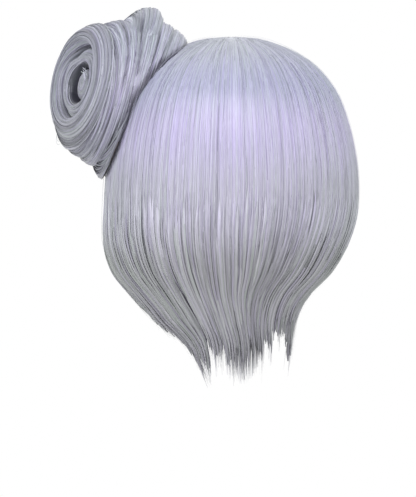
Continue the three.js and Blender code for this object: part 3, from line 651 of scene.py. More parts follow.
def napeLayer():
    # the under layer: thin locks close to the neck that reach below the back panel
    fibres = Fibres()
    draw = np.random.default_rng(55)
    count, steps = 380, 20
    edge = hairForm["napeEdge"]
    azimuth = draw.uniform(-edge, edge, count)
    clump = np.round(azimuth / 7.5) * 7.5 + draw.normal(0, 0.8, count)
    fall = (hairForm["napeDrop"] - hairForm["backDrop"]) * (azimuth / edge) ** 2
    hem = placeAtDrop(hairForm["napeDrop"] - fall - np.abs(draw.normal(0, 13, count)))
    share = np.linspace(0, 1, steps)[None, :]
    first = 10.4
    place = first + (hem[:, None] - first) * share
    tight = draw.uniform(0.1, 0.8, (count, 1))
    turned = azimuth[:, None] + (clump - azimuth)[:, None] * tight * smoothStep(0.6, 1, share)
    lean = draw.uniform(0.3, 0.62, (count, 1))
    turned = turned - (turned + 22) * lean * smoothStep(0.45, 1, share)
    radial = np.stack([np.sin(np.radians(turned)), np.cos(np.radians(turned)), np.zeros_like(turned)], -1)
    inwards = draw.uniform(1.9, 4.6, (count, 1)) * (1 - 0.5 * share)
    path = innerForm(turned, place) - radial * inwards[..., None] * mm
    # darker at the roots under the back panel and lighter towards the free tips: painted shade under the
    # panel, painted light at the tips
    tone = np.clip(0.38 + draw.normal(0, 0.14, (count, 1)) + 0.36 * smoothStep(0.5, 1, share), 0, 1)
    addStrands(fibres, path, radial, draw.uniform(0.7, 1.6, count), tone)
    fibres.finish("nape_layer", "nape_layer", hairFinish)


backEdge, sideEdge, crownEdge = hairForm["backEdge"], hairForm["sideEdge"], hairForm["crownEdge"]
crownHair()
hairPanel("back_hair", -backEdge, backEdge, crownEdge, seed=1)
hairPanel("left_hair", backEdge, sideEdge, crownEdge, seed=2, amount=0.75)
hairPanel("right_hair", -sideEdge, -backEdge, crownEdge, seed=3, amount=0.75)
hairPanel("fringe", sideEdge, 360 - sideEdge, crownEdge, hairForm["fringeDrop"], seed=4, amount=0.4)
napeLayer()
print("hair panels laid")


# The bun

# lengths in mm and angles in degrees; gap is the clearance between pieces, tie the elastic's thickness
bunForm = {
    "radius": 66, "depth": 58, "faceRadius": 47, "sink": 14, "azimuth": 87.0, "place": 6.4,
    "turnBack": 26, "turnDown": 14, "rise": 5, "coilRadius": 30, "holeRadius": 17, "coreRadius": 12.8,
    "lobeHeight": 8, "bulge": 2, "holeShift": 4.0, "coreShift": 5.5, "coreTall": 1.25, "tie": 3, "gap": 0.3,
}
# the side wall's height and width as shares of the radius, by station: 0 at the hair and 1 at the end face
bunProfile = {
    "station": [-0.28, 0, 0.25, 0.55, 0.8, 1],
    "top": [1.04, 1.13, 1.1, 0.95, 0.77, 0.7],
    "foot": [0.95, 0.95, 0.93, 0.9, 0.85, 0.72],
    "side": [0.66, 0.7, 0.78, 0.83, 0.8, 0.72],
}
bunBands = [(-0.28, -0.02), (-0.02, 0.27), (0.27, 0.54), (0.54, 0.8)]

seat = outerForm(np.array(bunForm["azimuth"]), np.array(bunForm["place"]))
seatNormal = outwardWay(np.array(bunForm["azimuth"]), np.array(bunForm["place"]))
turnBack, turnDown = math.radians(bunForm["turnBack"]), math.radians(bunForm["turnDown"])
faceNormal = unit(np.array([seatNormal[0] * math.cos(turnBack) - seatNormal[1] * math.sin(turnBack),
                            seatNormal[0] * math.sin(turnBack) + seatNormal[1] * math.cos(turnBack),
                            seatNormal[2] - math.sin(turnDown)]))


def bunPoint(station, radius, angle):
    # rings round an axis that leaves the hair square and bends towards the face; radius in mm
    station, radius, angle = np.broadcast_arrays(station, radius, angle)
    bend = np.clip(station, 0, 1)[..., None]
    axis = unit(seatNormal + (faceNormal - seatNormal) * bend)
    middle = unit(seatNormal + (faceNormal - seatNormal) * bend / 2)
    centre = seat - seatNormal * bunForm["sink"] * mm + middle * station[..., None] * bunForm["depth"] * mm
    centre = centre + np.array([0, 0, bunForm["rise"] * mm]) * bend
    up = unit(np.array([0.0, 0.0, 1.0]) - axis * axis[..., 2:3])
    side = np.cross(axis, up)
    return centre + (up * np.cos(angle)[..., None] + side * np.sin(angle)[..., None]) * radius[..., None] * mm


def awayFromAxis(path, station, angle):
    # the way from the bun's axis to points of its wall
    return unit(path - bunPoint(station, 0, angle))


def bunWall(station, angle):
    # radius of the side wall in mm, taller at the top and narrower across
    top, foot, side = (np.interp(station, bunProfile["station"], bunProfile[name])
                       for name in ("top", "foot", "side"))
    end = np.where(np.cos(angle) > 0, top, foot)
    return bunForm["radius"] * (side + (end - side) * np.abs(np.cos(angle)) ** 1.6)


def outsideHair(points):
    # level distance in mm of points from the hair's form, positive outside
    height = points[..., 2] / mm
    place = placeAtDrop(hairForm["lift"] - height)
    skin = outerForm(np.degrees(np.arctan2(points[..., 0], points[..., 1])), place)
    far = (np.hypot(points[..., 0], points[..., 1]) - np.hypot(skin[..., 0], skin[..., 1])) / mm
    return np.where(height > hairForm["lift"], np.maximum(far, 1), far)


def seated(station, radius, angle, sink=1.0):
    # moves stations outwards until their points lie no deeper than a little inside the hair's form
    low = np.array(np.broadcast_to(station, np.broadcast(station, radius, angle).shape), dtype=float)
    high = np.full(low.shape, 0.8)
    hidden = outsideHair(bunPoint(low, radius, angle)) < -sink
    for _ in range(14):
        middle = (low + high) / 2
        inside = outsideHair(bunPoint(middle, radius, angle)) < -sink
        low = np.where(hidden & inside, middle, low)
        high = np.where(hidden & ~inside, middle, high)
    return np.where(hidden, high, station)


# how far the windings spread on top, as a station, counts of grooves and strands, and strand sizes in mm
winding = {"fan": 0.17, "seed": 400, "grooves": 60, "fineGrooves": 260,
           "strands": 150, "strandWidth": (0.4, 1.0), "strandLift": 0.15}
# deep gaps between windings, cut into the relief and darkened as painted shade: station at the top of the
# bun, first and last angle, half width as a station
windingGaps = [
    (0.43, -1.4, -0.2, 0.028), (0.32, -1.3, -0.95, 0.03), (0.64, -1.65, -0.1, 0.02),
    (0.16, -1.15, -0.35, 0.022), (0.79, -2.9, -1.7, 0.018), (0.55, -3.0, -1.9, 0.02), (0.5, 0.4, 2.0, 0.025),
]


def fannedStation(along, angle):
    # windings spread on top of the bun and draw in towards the hair at its foot
    return along + winding["fan"] * (1 - np.cos(angle))


def inGroove(edges, place):
    # which groove a place is in, and how far across it
    index = np.clip(np.searchsorted(edges, place), 1, len(edges) - 1)
    return index, np.clip((place - edges[index - 1]) / (edges[index] - edges[index - 1]), 0, 1)


def woundRelief(along, angle):
    # combed windings: uneven grooves that drift across the band as they go round, with fine strands between;
    # the grooves and gaps are darkened as painted shade
    draw = np.random.default_rng(winding["seed"])
    grooves, fineGrooves = winding["grooves"], winding["fineGrooves"]
    drift = fannedStation(along, angle) + 0.02 * np.sin(angle + 1) + 0.012 * np.sin(2 * angle + 2)
    index, q = inGroove(np.cumsum(0.03 + 0.12 * draw.uniform(0, 1, grooves) ** 1.5) - 1, drift)
    fineIndex, p = inGroove(np.cumsum(draw.uniform(0.006, 0.019, fineGrooves)) - 1, drift * 1.02)
    bump = crowned(q, 0.55)
    fine = crowned(p, 0.6)
    proud = draw.uniform(-0.5, 0.7, grooves)[index]
    height = -0.8 * (1 - bump) + 0.55 * proud - 0.3 * (1 - fine)
    tone = 0.61 + draw.normal(0, 0.06, grooves)[index] + draw.normal(0, 0.07, fineGrooves)[fineIndex]
    # painted shade: darker in the grooves between windings
    tone = tone - 0.2 * (1 - bump ** 0.6) - 0.1 * (1 - fine)
    turned = np.mod(angle + np.pi, 2 * np.pi) - np.pi
    for middle, first, last, half in windingGaps:
        reach = smoothStep(first, first + 0.3, turned) * (1 - smoothStep(last - 0.3, last, turned))
        gap = reach * np.exp(-((fannedStation(along, angle) - middle) / half) ** 2)
        # each gap is cut deeper and darkened as painted shade
        height = height - 1.3 * gap
        tone = tone - 0.4 * gap
    return height, np.clip(tone, 0, 1)


def ringWall(fibres, stations, radii, angles, tone):
    # closed ring: a section of stations and radii, carried round by angle
    points = bunPoint(stations, radii, angles)
    rows, columns = points.shape[:2]
    across = np.cumsum(np.full((rows, columns), 0.006), axis=0)
    uv = np.stack([across, np.broadcast_to(angles * 0.5, (rows, columns))], -1)
    faces = gridFaces(rows, columns, 0, True).tolist() + stripFaces((rows - 1) * columns, 0, columns, True)
    fibres.add(points, faces, uv, tone)


def withFoot(section, foot):
    # further rows that close a section on its hidden side, each with one value all round; the bun's pieces
    # give them a low tone as painted shade
    columns = section[0].shape[1]
    return [np.concatenate([grid, np.repeat(np.array(values)[:, None], columns, axis=1)])
            for grid, values in zip(section, foot)]


def woundStrands(fibres, draw, fromStation, toStation):
    # loose strands that follow the windings for part of a turn
    count, steps = winding["strands"], 30
    station = draw.uniform(fromStation, toStation, count)
    start = draw.uniform(0, 2 * np.pi, count)
    sweepAngle = draw.uniform(1.4, 4.2, count)
    share = np.linspace(0, 1, steps)[None, :]
    angle = start[:, None] + sweepAngle[:, None] * share
    stray = 1 + 5 * (draw.uniform(0, 1, (count, 1)) < 0.22)
    drift = stray * draw.normal(0, 0.012, (count, 1)) * np.sin(share * 3 + draw.uniform(0, 6, (count, 1)))
    half = steps // 2
    fan = winding["fan"] * (np.cos(angle) - np.cos(angle[:, half:half + 1]))
    lowest, highest = max(fromStation - 0.1, -0.27), min(toStation + 0.1, 0.79)
    stations = np.clip(station[:, None] + drift + fan, lowest, highest)
    relief, tone = woundRelief(stations, angle)
    radius = bandRadius(stations, angle) + relief + winding["strandLift"]
    radius = radius + draw.uniform(-0.2, 0.5, (count, 1))
    stations = seated(stations, radius, angle, 0.5)
    path = bunPoint(stations, radius, angle)
    # painted shade of the crease: darker where the strands come near the hair
    tone = tone - 0.6 * (1 - smoothStep(2, 9, outsideHair(path)))
    tone = np.clip(tone + draw.normal(0.03, 0.12, (count, 1)) + 0.02 * (stray - 1), 0, 1)
    width = draw.uniform(*winding["strandWidth"], count)
    addStrands(fibres, path, awayFromAxis(path, stations, angle), width, tone)


def bandRadius(station, angle):
    # the bands' crowned sections over the side wall
    edges = np.array([band[0] for band in bunBands] + [bunBands[-1][1]])
    index = np.clip(np.searchsorted(edges, station, side="right"), 1, len(bunBands))
    q = np.clip((station - edges[index - 1]) / (edges[index] - edges[index - 1]), 0, 1)
    return bunWall(station, angle) + bunForm["bulge"] * (1.35 * crowned(q, 0.5) - 0.75)


def creasePath(angle):
    # station and radius of the elastic's middle: as near the hair as its thickness and clearance allow
    radius, fromHair = bunForm["tie"] / 2, 0.9
    low, high = np.full(angle.shape, -0.4), np.full(angle.shape, 0.7)
    for _ in range(16):
        middle = (low + high) / 2
        ring = bunWall(middle, angle) + bunForm["bulge"] + radius + bunForm["gap"]
        outside = outsideHair(bunPoint(middle, ring, angle)) > radius + fromHair
        high = np.where(outside, middle, high)
        low = np.where(outside, low, middle)
    return high, bunWall(high, angle) + bunForm["bulge"] + radius + bunForm["gap"]


def coverTie(fibres, draw):
    # strands that lie over the elastic and hide most of it
    count, steps = 80, 16
    share = np.linspace(0, 1, steps)[None, :]
    start = np.pi + draw.uniform(-0.9, 0.45, (count, 1))
    angle = start + draw.uniform(0.5, 0.9, (count, 1)) * share
    station, ring = creasePath(angle)
    station = station + draw.uniform(-0.012, 0.05, (count, 1))
    station = station + 0.02 * (share - 0.5) * draw.normal(0, 1, (count, 1))
    away = smoothStep(0.2, 0.7, np.abs(angle - np.pi))
    lift = bunForm["tie"] / 2 + draw.uniform(0.1, 1.3, (count, 1)) * (0.25 + 0.75 * away)
    lift = lift - 2.2 * (2 * share - 1) ** 4
    path = bunPoint(station, ring + lift, angle)
    # a low tone: painted shade of the crease over the elastic
    tone = np.clip(draw.normal(0.36, 0.16, (count, 1)), 0, 1)
    addStrands(fibres, path, awayFromAxis(path, station, angle), draw.uniform(0.5, 1.1, count), tone)


def gatherFoot(fibres, draw):
    # short hair drawn in under the bun: it runs slantwise from the wall to the outside of the elastic
    count, steps = 120, 12
    share = np.linspace(0, 1, steps)[None, :]
    angle = np.pi + np.linspace(-1.5, 0.25, count)[:, None] + draw.normal(0, 0.06, (count, 1))
    angle = angle + draw.normal(0.8, 0.16, (count, 1)) * share
    crease, ring = creasePath(angle)
    station = crease + draw.uniform(0.1, 0.32, (count, 1)) * (1 - share) ** 1.1
    wall = bandRadius(station, angle) - 0.3
    outer = ring + bunForm["tie"] / 2 + draw.uniform(-0.2, 0.5, (count, 1))
    radius = wall + (outer - wall) * smoothStep(0.1, 0.95, share) - 1.4 * smoothStep(0.85, 1, share)
    path = bunPoint(station, radius, angle)
    # a low tone: painted shade under the bun
    tone = np.clip(draw.normal(0.38, 0.12, (count, 1)), 0, 1)
    addStrands(fibres, path, awayFromAxis(path, station, angle), draw.uniform(0.8, 1.7, count), tone)


def bunBand(index, fromStation, toStation):
    # one wound band: the crowned wall with its windings in relief, closed by a ring round the inner coil
    fibres = Fibres()
    draw = np.random.default_rng(300 + index)
    rows = int((toStation - fromStation) * bunForm["depth"] / 0.5) + 2
    angles = roundGrid(rows, 210)[1]
    stations = np.broadcast_to(np.linspace(fromStation, toStation, rows)[:, None], angles.shape)
    relief, tone = woundRelief(stations, angles)
    inside = np.clip(stations, fromStation + 1e-4, toStation - 1e-4)
    radii = bandRadius(inside, angles) + relief
    seam = np.minimum(stations - fromStation, toStation - stations) / (toStation - fromStation)
    # painted shade: darker along the seams between bands and in the crease near the hair
    tone = tone - 0.2 * (1 - smoothStep(0, 0.07, seam))
    tone = tone - 0.65 * (1 - smoothStep(2, 9, outsideHair(bunPoint(stations, radii, angles))))
    core = bunForm["coilRadius"] + bunForm["gap"]
    # the hidden rows round the coil take a low tone: painted shade
    foot = ([toStation, fromStation], [core, core], [0.2, 0.2])
    stations, radii, tone = withFoot((stations, radii, tone), foot)
    stations = seated(stations, radii, angles[:1])
    ringWall(fibres, stations, radii, angles[:1], tone)
    woundStrands(fibres, draw, fromStation, toStation)
    if index == 1:
        coverTie(fibres, draw)
        gatherFoot(fibres, draw)
    name = f"bun_band_{index + 1}"
    fibres.finish(name, name, bunFinish)


def faceRecess(angle):
    # the roll opens from the inner coil at the top and, less, at the lower left: depth as a share of its
    # height, each opening a bell curve round the face
    def bell(middle, half):
        return np.exp(-((np.mod(angle - middle + np.pi, 2 * np.pi) - np.pi) / half) ** 2)

    return 1.1 * bell(0.1, 0.75) + 0.4 * bell(2.5, 0.8)


def faceSection(share):
    # the face roll's section by share from the last band over the shoulder into the coil: along, and rim
    knots = np.linspace(0, 1, 8)
    along = np.interp(share, knots, [0, 0.2, 0.5, 0.82, 0.98, 1.0, 0.93, 0.8])
    rim = np.interp(share, knots, [1.12, 1.18, 1.12, 0.95, 0.72, 0.42, 0.12, 0.0])
    return along, rim


def facePoint(share, angle, lift):
    # share runs over the face roll; lift stands outwards from it in mm
    first = bunBands[-1][1]
    inner = bunForm["coilRadius"] + bunForm["gap"]
    along, rim = faceSection(share)
    inwards = smoothStep(0.7, 0.95, share)
    along = along - faceRecess(angle) * inwards
    wall = bunWall(first, angle) - 0.4 * bunForm["bulge"]
    blend = np.clip(1 - along * 1.6, 0, 1)
    radius = inner + (bunForm["faceRadius"] - inner) * rim
    radius = radius + np.maximum(wall - bunForm["faceRadius"], 0) * blend * rim
    radius = np.where(share < 0.06, radius + (wall - radius) * (1 - share / 0.06), radius)
    up = np.clip((share - 0.35) / 0.25, 0, 1)
    station = first + (1 - first) * along + lift * up / bunForm["depth"]
    return station, radius + lift * (1 - up)


def spiralRelief(share, angle, seed, count=12, turns=1):
    # strands wound in a spiral: grooves move inwards by one place in each turn; each of the 97 kept grooves
    # has its own height and tone, taken in turn
    draw = np.random.default_rng(seed)
    kept = 97
    phase = share * count + turns * angle / (2 * np.pi) + 0.18 * np.sin(angle * 2 + draw.uniform(0, 6))
    q = np.mod(phase, 1)
    index = np.floor(phase).astype(int) % kept
    bump = crowned(q, 0.5)
    fineBump = crowned(np.mod(phase * 5.3, 1), 0.6)
    proud = draw.uniform(-0.35, 0.45, kept)
    nextProud = proud[(index + 1) % kept]
    height = -1.15 * (1 - bump) + proud[index] * (1 - q) + nextProud * q - 0.3 * (1 - fineBump)
    # painted shade: darker in the grooves between turns
    tone = 0.62 + draw.normal(0, 0.08, kept)[index] - 0.42 * (1 - bump ** 0.6) - 0.12 * (1 - fineBump)
    return height, np.clip(tone, 0, 1)


def looseLoop(fibres):
    # two hairs that have sprung off the lower edge of the face, in half a sine wave
    first = bunBands[-1][1]
    share = np.linspace(0, 1, 20)[None, :]
    angle = 2.25 + np.array([[0.5], [0.42]]) * share
    lift = np.array([[6.5], [4.6]]) * np.sin(np.pi * share)
    path = bunPoint(first + 0.04 * share, bunWall(first, angle) + lift, angle)
    normal = np.broadcast_to(faceNormal, path.shape)
    addStrands(fibres, path, normal, np.full(2, 0.35), np.full((2, 1), 1.0))


def bunFaceRoll():
    # the outer turn on the end face, with painted shade where it opens from the coil
    fibres = Fibres()
    seed = 21
    share, angle = roundGrid(84, 300)
    relief, tone = spiralRelief(share, angle, seed)
    # painted shade where the roll opens into the coil and towards its inner edge
    tone = tone - 0.5 * smoothStep(0.72, 0.92, share) * np.clip(faceRecess(angle), 0, 1)
    tone = tone * (1 - 0.6 * smoothStep(0.84, 1, share))
    stations, radii = facePoint(share, angle, relief)
    # the hidden rows round the coil take a low tone: painted shade
    foot = ([bunBands[-1][1]], [bunForm["coilRadius"] + bunForm["gap"]], [0.2])
    stations, radii, tone = withFoot((stations, radii, tone), foot)
    ringWall(fibres, stations, radii, angle[:1], tone)
    spiralStrands(fibres, 180, seed, facePoint, (0.02, 0.85), -0.067)
    looseLoop(fibres)
    fibres.finish("bun_face_roll", "bun_face_roll", bunFaceFinish)


def spiralStrands(fibres, count, seed, form, span, spiral):
    # loose strands that follow the spiral grooves inwards, by a share of the form in each turn
    draw = np.random.default_rng(seed + 5)
    steps = 26
    share = draw.uniform(*span, count)[:, None]
    start = draw.uniform(0, 2 * np.pi, (count, 1))
    length = draw.uniform(1.6, 5, (count, 1))
    along = np.linspace(0, 1, steps)[None, :]
    angle = start + length * along
    shares = np.clip(share + spiral * length * along / (2 * np.pi), 0.01, 0.98)
    relief, tone = spiralRelief(shares, angle, seed)
    lift = relief + draw.uniform(-0.1, 0.5, (count, 1))
    station, radius = form(shares, angle, lift)
    path = bunPoint(station, radius, angle)
    higherStation, higherRadius = form(shares, angle, lift + 1)
    normal = unit(bunPoint(higherStation, higherRadius, angle) - path)
    tone = np.clip(tone + draw.normal(0.05, 0.1, (count, 1)), 0, 1)
    addStrands(fibres, path, normal, draw.uniform(0.4, 0.9, count), tone)


def coilPoint(share, angle, lift):
    # the inner coil's section, from its side over a rounded end into the hole, which lies low and nearer
    shift = 3.5 * np.clip(np.cos(angle), 0, 1) + bunForm["holeShift"] * np.sin(angle)
    inner = bunForm["holeRadius"] + bunForm["gap"] - shift * smoothStep(0.2, 0.5, share)
    outer = bunForm["coilRadius"] - 8 * np.clip(faceRecess(angle), 0, 1) * smoothStep(0, 0.2, share)
    knots = [0, 0.3, 0.5, 0.75, 1]
    mix = np.interp(share, knots, [1, 0.86, 0.5, 0.06, 0])
    along = np.interp(share, knots, [0.86, 0.94, 0.97, 0.92, 0.6])
    up = np.clip(1 - np.abs(share - 0.4) / 0.5, 0, 1)
    radius = inner + (outer - inner) * mix - lift * (1 - up) * (share > 0.5)
    return along + lift * up / bunForm["depth"], radius


def bunInnerCoil():
    # the inner turn, with painted shade where it falls into the hole
    fibres = Fibres()
    seed = 33
    share, angle = roundGrid(44, 220)
    relief, tone = spiralRelief(share, angle, seed, 8)
    stations, radii = coilPoint(share, angle, relief)
    # painted shade: dark in the hole
    inHole = smoothStep(0.5, 0.72, share)
    tone = tone * (1 - inHole) - 0.2 * inHole
    # the hidden rows take a very low tone: painted shade
    foot = ([0.15, 0.15], [bunForm["holeRadius"] + bunForm["gap"], bunForm["coilRadius"]], [0.05, 0.05])
    stations, radii, tone = withFoot((stations, radii, tone), foot)
    ringWall(fibres, stations, radii, angle[:1], tone)
    spiralStrands(fibres, 90, seed, coilPoint, (0.05, 0.7), -0.12)
    fibres.finish("bun_inner_coil", "bun_inner_coil", bunFaceFinish)


def corePoint(station, share, angle):
    # the plug is taller than wide and stands against the near side of the hole
    tall = 1 + (bunForm["coreTall"] - 1) * np.clip(-np.cos(angle), 0, 1)
    middle = bunPoint(station, bunForm["coreShift"], -np.pi / 2) - bunPoint(station, 0, 0)
    return bunPoint(station, share * bunForm["coreRadius"] * tall, angle) + middle


def coreGlintStrands(fibres):
    # a painted glint: a few pale strands looped over the plug's upper right
    draw = np.random.default_rng(8)
    count, steps = 14, 16
    share = np.linspace(0, 1, steps)[None, :]
    angle = draw.uniform(-1.7, -0.6, (count, 1)) + draw.uniform(0.5, 1.1, (count, 1)) * share
    station = 0.925 + draw.uniform(0, 0.02, (count, 1)) + 0.03 * np.sin(np.pi * share)
    path = corePoint(station, draw.uniform(0.55, 0.98, (count, 1)), angle)
    normal = np.broadcast_to(faceNormal, path.shape)
    addStrands(fibres, path, normal, draw.uniform(0.4, 0.8, count), draw.uniform(0.8, 1.0, (count, 1)))


def bunCore():
    # the plug in the hole: the strands' last turn, domed and twisted
    fibres = Fibres()
    columns, rows = 120, 26
    share, angle = roundGrid(rows, columns)
    relief, tone = spiralRelief(share, angle, 44, 5, 2)
    knots = [0, 0.35, 0.5, 0.75, 1]
    station = np.interp(share, knots, [0.2, 0.82, 0.88, 0.92, 0.93])
    radius = np.interp(share, knots, [0.98, 1.0, 0.86, 0.5, 0.0])
    station = station + relief * 0.6 / bunForm["depth"] * smoothStep(0.4, 0.6, share)
    points = corePoint(station, radius, angle)
    uv = np.stack([share * 0.2, angle * 0.2], -1)
    faces = gridFaces(rows, columns, 0, True).tolist() + endFaces(0, (rows - 1) * columns, columns)
    # painted shade: the plug's lower part, deep in the hole, is dark
    tone = (0.5 * tone + 0.1) * smoothStep(0.32, 0.5, share) - 0.25 * (1 - smoothStep(0.3, 0.42, share))
    fibres.add(points, faces, uv, tone)
    coreGlintStrands(fibres)
    fibres.finish("bun_core", "bun_core", bunFaceFinish)


# the lobe's half width as an angle, and the stations that it spans
lobeForm = {"spread": 0.6, "first": 0.12, "length": 0.4}


def lobeWall(share, angle, base):
    # the lobe's outer side: windings on an arch across it that eases to nothing at its ends
    station = lobeForm["first"] + lobeForm["length"] * share
    relief, tone = woundRelief(station, angle)
    ease = np.clip(1 - (angle / lobeForm["spread"]) ** 2, 0, 1) ** 0.7
    arch = np.clip(4 * share * (1 - share), 0, 1) ** 0.7 * ease
    radius = bunWall(station, angle) + base + (bunForm["lobeHeight"] + 4.9) * arch
    return station, radius + relief * np.minimum(arch * 2, 1), tone


def lobeStrands(fibres, draw):
    # loose strands from side to side over the lobe
    count, steps = 90, 22
    spread = lobeForm["spread"] * 0.95
    angle = np.linspace(-spread, spread, steps)[None, :] * np.ones((count, 1))
    share = draw.uniform(0.08, 0.92, (count, 1)) + draw.normal(0, 0.03, (count, 1)) * np.sin(angle * 3)
    station, radius, tone = lobeWall(np.clip(share, 0.02, 0.98), angle, -1.7)
    path = bunPoint(station, radius + draw.uniform(0, 0.4, (count, 1)), angle)
    width = draw.uniform(0.4, 1.0, count)
    tone = np.clip(tone + draw.normal(0.03, 0.1, (count, 1)), 0, 1)
    addStrands(fibres, path, awayFromAxis(path, station, angle), width, tone)


def bunTopLobe():
    # the folded lobe on top, a crowned arc that tapers to both sides
    fibres = Fibres()
    columns, rows = 110, 46
    angles = np.linspace(-lobeForm["spread"], lobeForm["spread"], columns)[None, :]
    share, angle = np.broadcast_arrays(np.linspace(0, 1, rows)[:, None], angles)
    station, upper, tone = lobeWall(share, angle, -1.9)
    outer = bunPoint(station, upper, angle)
    inner = bunPoint(station, bunWall(station, angle) - 3, angle)[::9]
    addWall(fibres, outer, inner, np.stack([share * 0.25, angle * 0.5], -1), tone)
    lobeStrands(fibres, np.random.default_rng(61))
    fibres.finish("bun_top_lobe", "bun_top_lobe", bunFinish)


for number, (low, high) in enumerate(bunBands):
    bunBand(number, low, high)
bunFaceRoll()
bunInnerCoil()
bunCore()
bunTopLobe()
print("bun wound")


# The tie and the cap

# spread is the angle that the elastic runs each way from the bun's foot
tieLook = {"colour": "#4a4037", "rib": "#2e2923", "spread": 0.9}
# wall, drops from the crown and the pitch of the wefts in mm
capLook = {"wall": 1.5, "front": 84, "side": 108, "nape": 132, "weftPitch": 11,
           "net": "#77757f", "weft": "#4f4e57"}


def coveredElastic():
    # braided cover over rubber: matt thread in fine ribs
    material, tree = startMaterial("coveredElastic")
    place = addNode(tree, "ShaderNodeTexCoord")
    rib = addNode(tree, "ShaderNodeTexWave", {"Scale": 280.0, "Distortion": 1.5},
                  {"Vector": place.outputs["Object"]})
    ramp = addNode(tree, "ShaderNodeValToRGB", {}, {"Fac": rib.outputs["Fac"]})
    fillRamp(ramp.color_ramp, [(0.2, tieLook["rib"]), (0.8, tieLook["colour"])])
    bump = addNode(tree, "ShaderNodeBump", {"Strength": 0.5, "Distance": 0.0003},
                   {"Height": rib.outputs["Fac"]})
    closeMaterial(tree, {"Roughness": 0.75},
                  {"Base Color": ramp.outputs["Color"], "Normal": bump.outputs["Normal"]})
    return material


def bunTie():
    # a round elastic in the crease where the foot of the bun meets the hair: a circle along the crease's path
    steps, sides = 60, 14
    angle = np.pi + np.linspace(-tieLook["spread"], tieLook["spread"], steps)
    high, ring = creasePath(angle)
    path = bunPoint(high, ring, angle)
    out = unit(bunPoint(high, ring + 1, angle) - path)
    along = unit(np.gradient(path, axis=0))
    across = unit(np.cross(along, out))
    turn = np.linspace(0, 2 * np.pi, sides, endpoint=False)[None, :, None]
    circle = out[:, None] * np.cos(turn) + across[:, None] * np.sin(turn)
    points = path[:, None] + circle * (bunForm["tie"] / 2) * mm
    faces = gridFaces(steps, sides, 0, True).tolist() + endFaces(0, (steps - 1) * sides, sides)
    declarePiece("bun_tie", buildMesh("bun_tie", points, faces), coveredElastic(), "bun_tie")


def stretchNet():
    # knitted stretch net sewn to rows of hair: matt thread, with the darker weft seen through its loops
    material, tree = startMaterial("stretchNet")
    place = addNode(tree, "ShaderNodeTexCoord")
    # the knit's loops are about 1.4 mm, coarse enough to show
    net = addNode(tree, "ShaderNodeTexVoronoi", {"Scale": 700.0, "feature": "DISTANCE_TO_EDGE"},
                  {"Vector": place.outputs["Object"]})
    loops = addNode(tree, "ShaderNodeValToRGB", {}, {"Fac": net.outputs["Distance"]})
    fillRamp(loops.color_ramp, [(0.02, capLook["net"]), (0.3, capLook["weft"])])
    bump = addNode(tree, "ShaderNodeBump", {"Strength": 0.6, "Distance": 0.0003},
                   {"Height": net.outputs["Distance"]})
    closeMaterial(tree, {"Roughness": 0.85},
                  {"Base Color": loops.outputs["Color"], "Normal": bump.outputs["Normal"]})
    return material


def capShell():
    # an ellipsoid wall by tilt from the crown, with low ridges where the wefts are sewn and a rolled rim
    rows, columns = 64, 100
    azimuth = roundGrid(rows, columns)[1][:1]
    low = np.where(np.cos(azimuth) >= 0, capLook["nape"], capLook["front"])
    drop = capLook["side"] + (low - capLook["side"]) * np.cos(azimuth) ** 2
    rim = np.arccos((hairForm["headCrown"] - drop) / hairForm["headCrown"])
    share = np.linspace(0.002, 1, rows)[:, None]
    tilt = rim * share
    depth = hairForm["headCrown"] * (1 - np.cos(tilt))
    wave = 0.5 + 0.5 * np.cos(2 * np.pi * depth / capLook["weftPitch"])
    weft = 0.35 * wave ** 6 * smoothStep(0.15, 0.3, share)
    roll = 0.8 * np.clip(1 - np.abs(share - 0.985) / 0.02, 0, 1) ** 0.5

    def skin(wall):
        width = hairForm["headWidth"] / 2 + wall
        length = hairForm["headLength"] / 2 + wall
        height = (hairForm["headCrown"] + wall) * np.cos(tilt) - hairForm["headCrown"]
        x = width * np.sin(tilt) * np.sin(azimuth)
        return np.stack([x, length * np.sin(tilt) * np.cos(azimuth), height], -1) * mm

    outer, inner = skin(np.full(tilt.shape, capLook["wall"])), skin(-weft - roll)
    points = np.concatenate([outer.reshape(-1, 3), inner.reshape(-1, 3)])
    mesh = buildMesh("cap", points, shellFaces(rows, rows, columns))
    declarePiece("stretch_cap", mesh, stretchNet(), "cap")


bunTie()
capShell()
print("tie and cap made")


# Floor, light and camera

# lengths in metres; the picture's long side is 497 pixels of 0.85 mm
stageLook = {"floorDrop": 0.62, "floorSize": 4.0, "floor": "#f2f2f3", "world": 1.0}
cameraLook = {"distance": 3.0, "longSide": 0.4225, "sensor": 36, "across": 0.0204, "height": -0.1619}
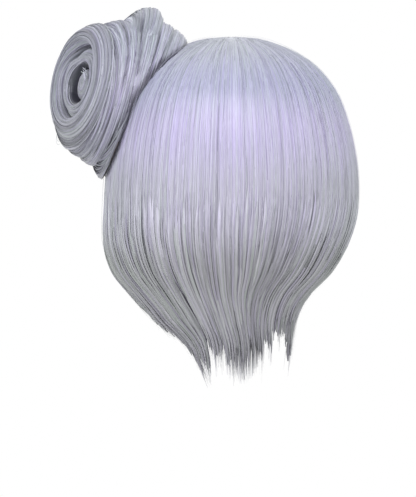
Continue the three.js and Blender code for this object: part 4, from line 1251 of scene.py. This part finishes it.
# place, the point it is turned to, width and height in metres, power in watts
studioLights = {
    "keyAbove": ((0.2, 1.7, 1.35), (0, 0, -0.08), (2.6, 0.8), 36.5, "#f4f2ff"),
    "frontFill": ((-0.2, 2.4, 0.15), (0, 0, -0.12), (1.4, 0.4), 5, "#fffaf8"),
    "leftFill": ((2.0, 1.3, 0.2), (0, 0, -0.12), (0.7, 1.0), 13.5, "#f8fbff"),
    "rightFill": ((-1.9, 1.3, 0.65), (0, 0, -0.08), (0.7, 1.0), 12, "#f8fbff"),
}


def layFloor():
    # a level square of matt pale paper under the wig
    half = stageLook["floorSize"] / 2
    z = -stageLook["floorDrop"]
    mesh = bpy.data.meshes.new("studioFloor")
    corners = [(-half, -half, z), (half, -half, z), (half, half, z), (-half, half, z)]
    mesh.from_pydata(corners, [], [(0, 1, 2, 3)])
    material, tree = startMaterial("palePaper")
    closeMaterial(tree, {"Base Color": toLinear(stageLook["floor"]), "Roughness": 0.9})
    mesh.materials.append(material)
    addObject("studioFloor", mesh)


def hangLight(name, place, aim, size, power, colour):
    # a soft square light at a place, turned towards a point
    lamp = bpy.data.lights.new(name, "AREA")
    lamp.shape = "RECTANGLE"
    lamp.size, lamp.size_y = size
    lamp.energy = power
    lamp.color = toLinear(colour)[:3]
    holder = addObject(name, lamp)
    holder.location = place
    way = np.array(place) - np.array(aim)
    far = math.hypot(way[0], way[1])
    holder.rotation_euler = (math.atan2(far, way[2]), 0, math.atan2(way[1], way[0]) + math.pi / 2)


def setCamera():
    # the photo's view from straight behind, level with the middle of the picture
    camera = bpy.data.cameras.new("camera")
    camera.sensor_width = cameraLook["sensor"]
    camera.lens = cameraLook["sensor"] * cameraLook["distance"] / cameraLook["longSide"]
    holder = addObject("camera", camera)
    holder.location = (cameraLook["across"], cameraLook["distance"], cameraLook["height"])
    holder.rotation_euler = (math.pi / 2, 0, math.pi)
    bpy.context.scene.camera = holder


def setWorld():
    # even white light from all round, and plain colours without a film look
    world = bpy.data.worlds.new("paleStudio")
    bpy.context.scene.world = world
    world.use_nodes = True
    background = world.node_tree.nodes["Background"]
    background.inputs["Color"].default_value = (1, 1, 1, 1)
    background.inputs["Strength"].default_value = stageLook["world"]
    bpy.context.scene.view_settings.view_transform = "Standard"


layFloor()
setWorld()
for name, values in studioLights.items():
    hangLight(name, *values)
setCamera()
print("stage set")
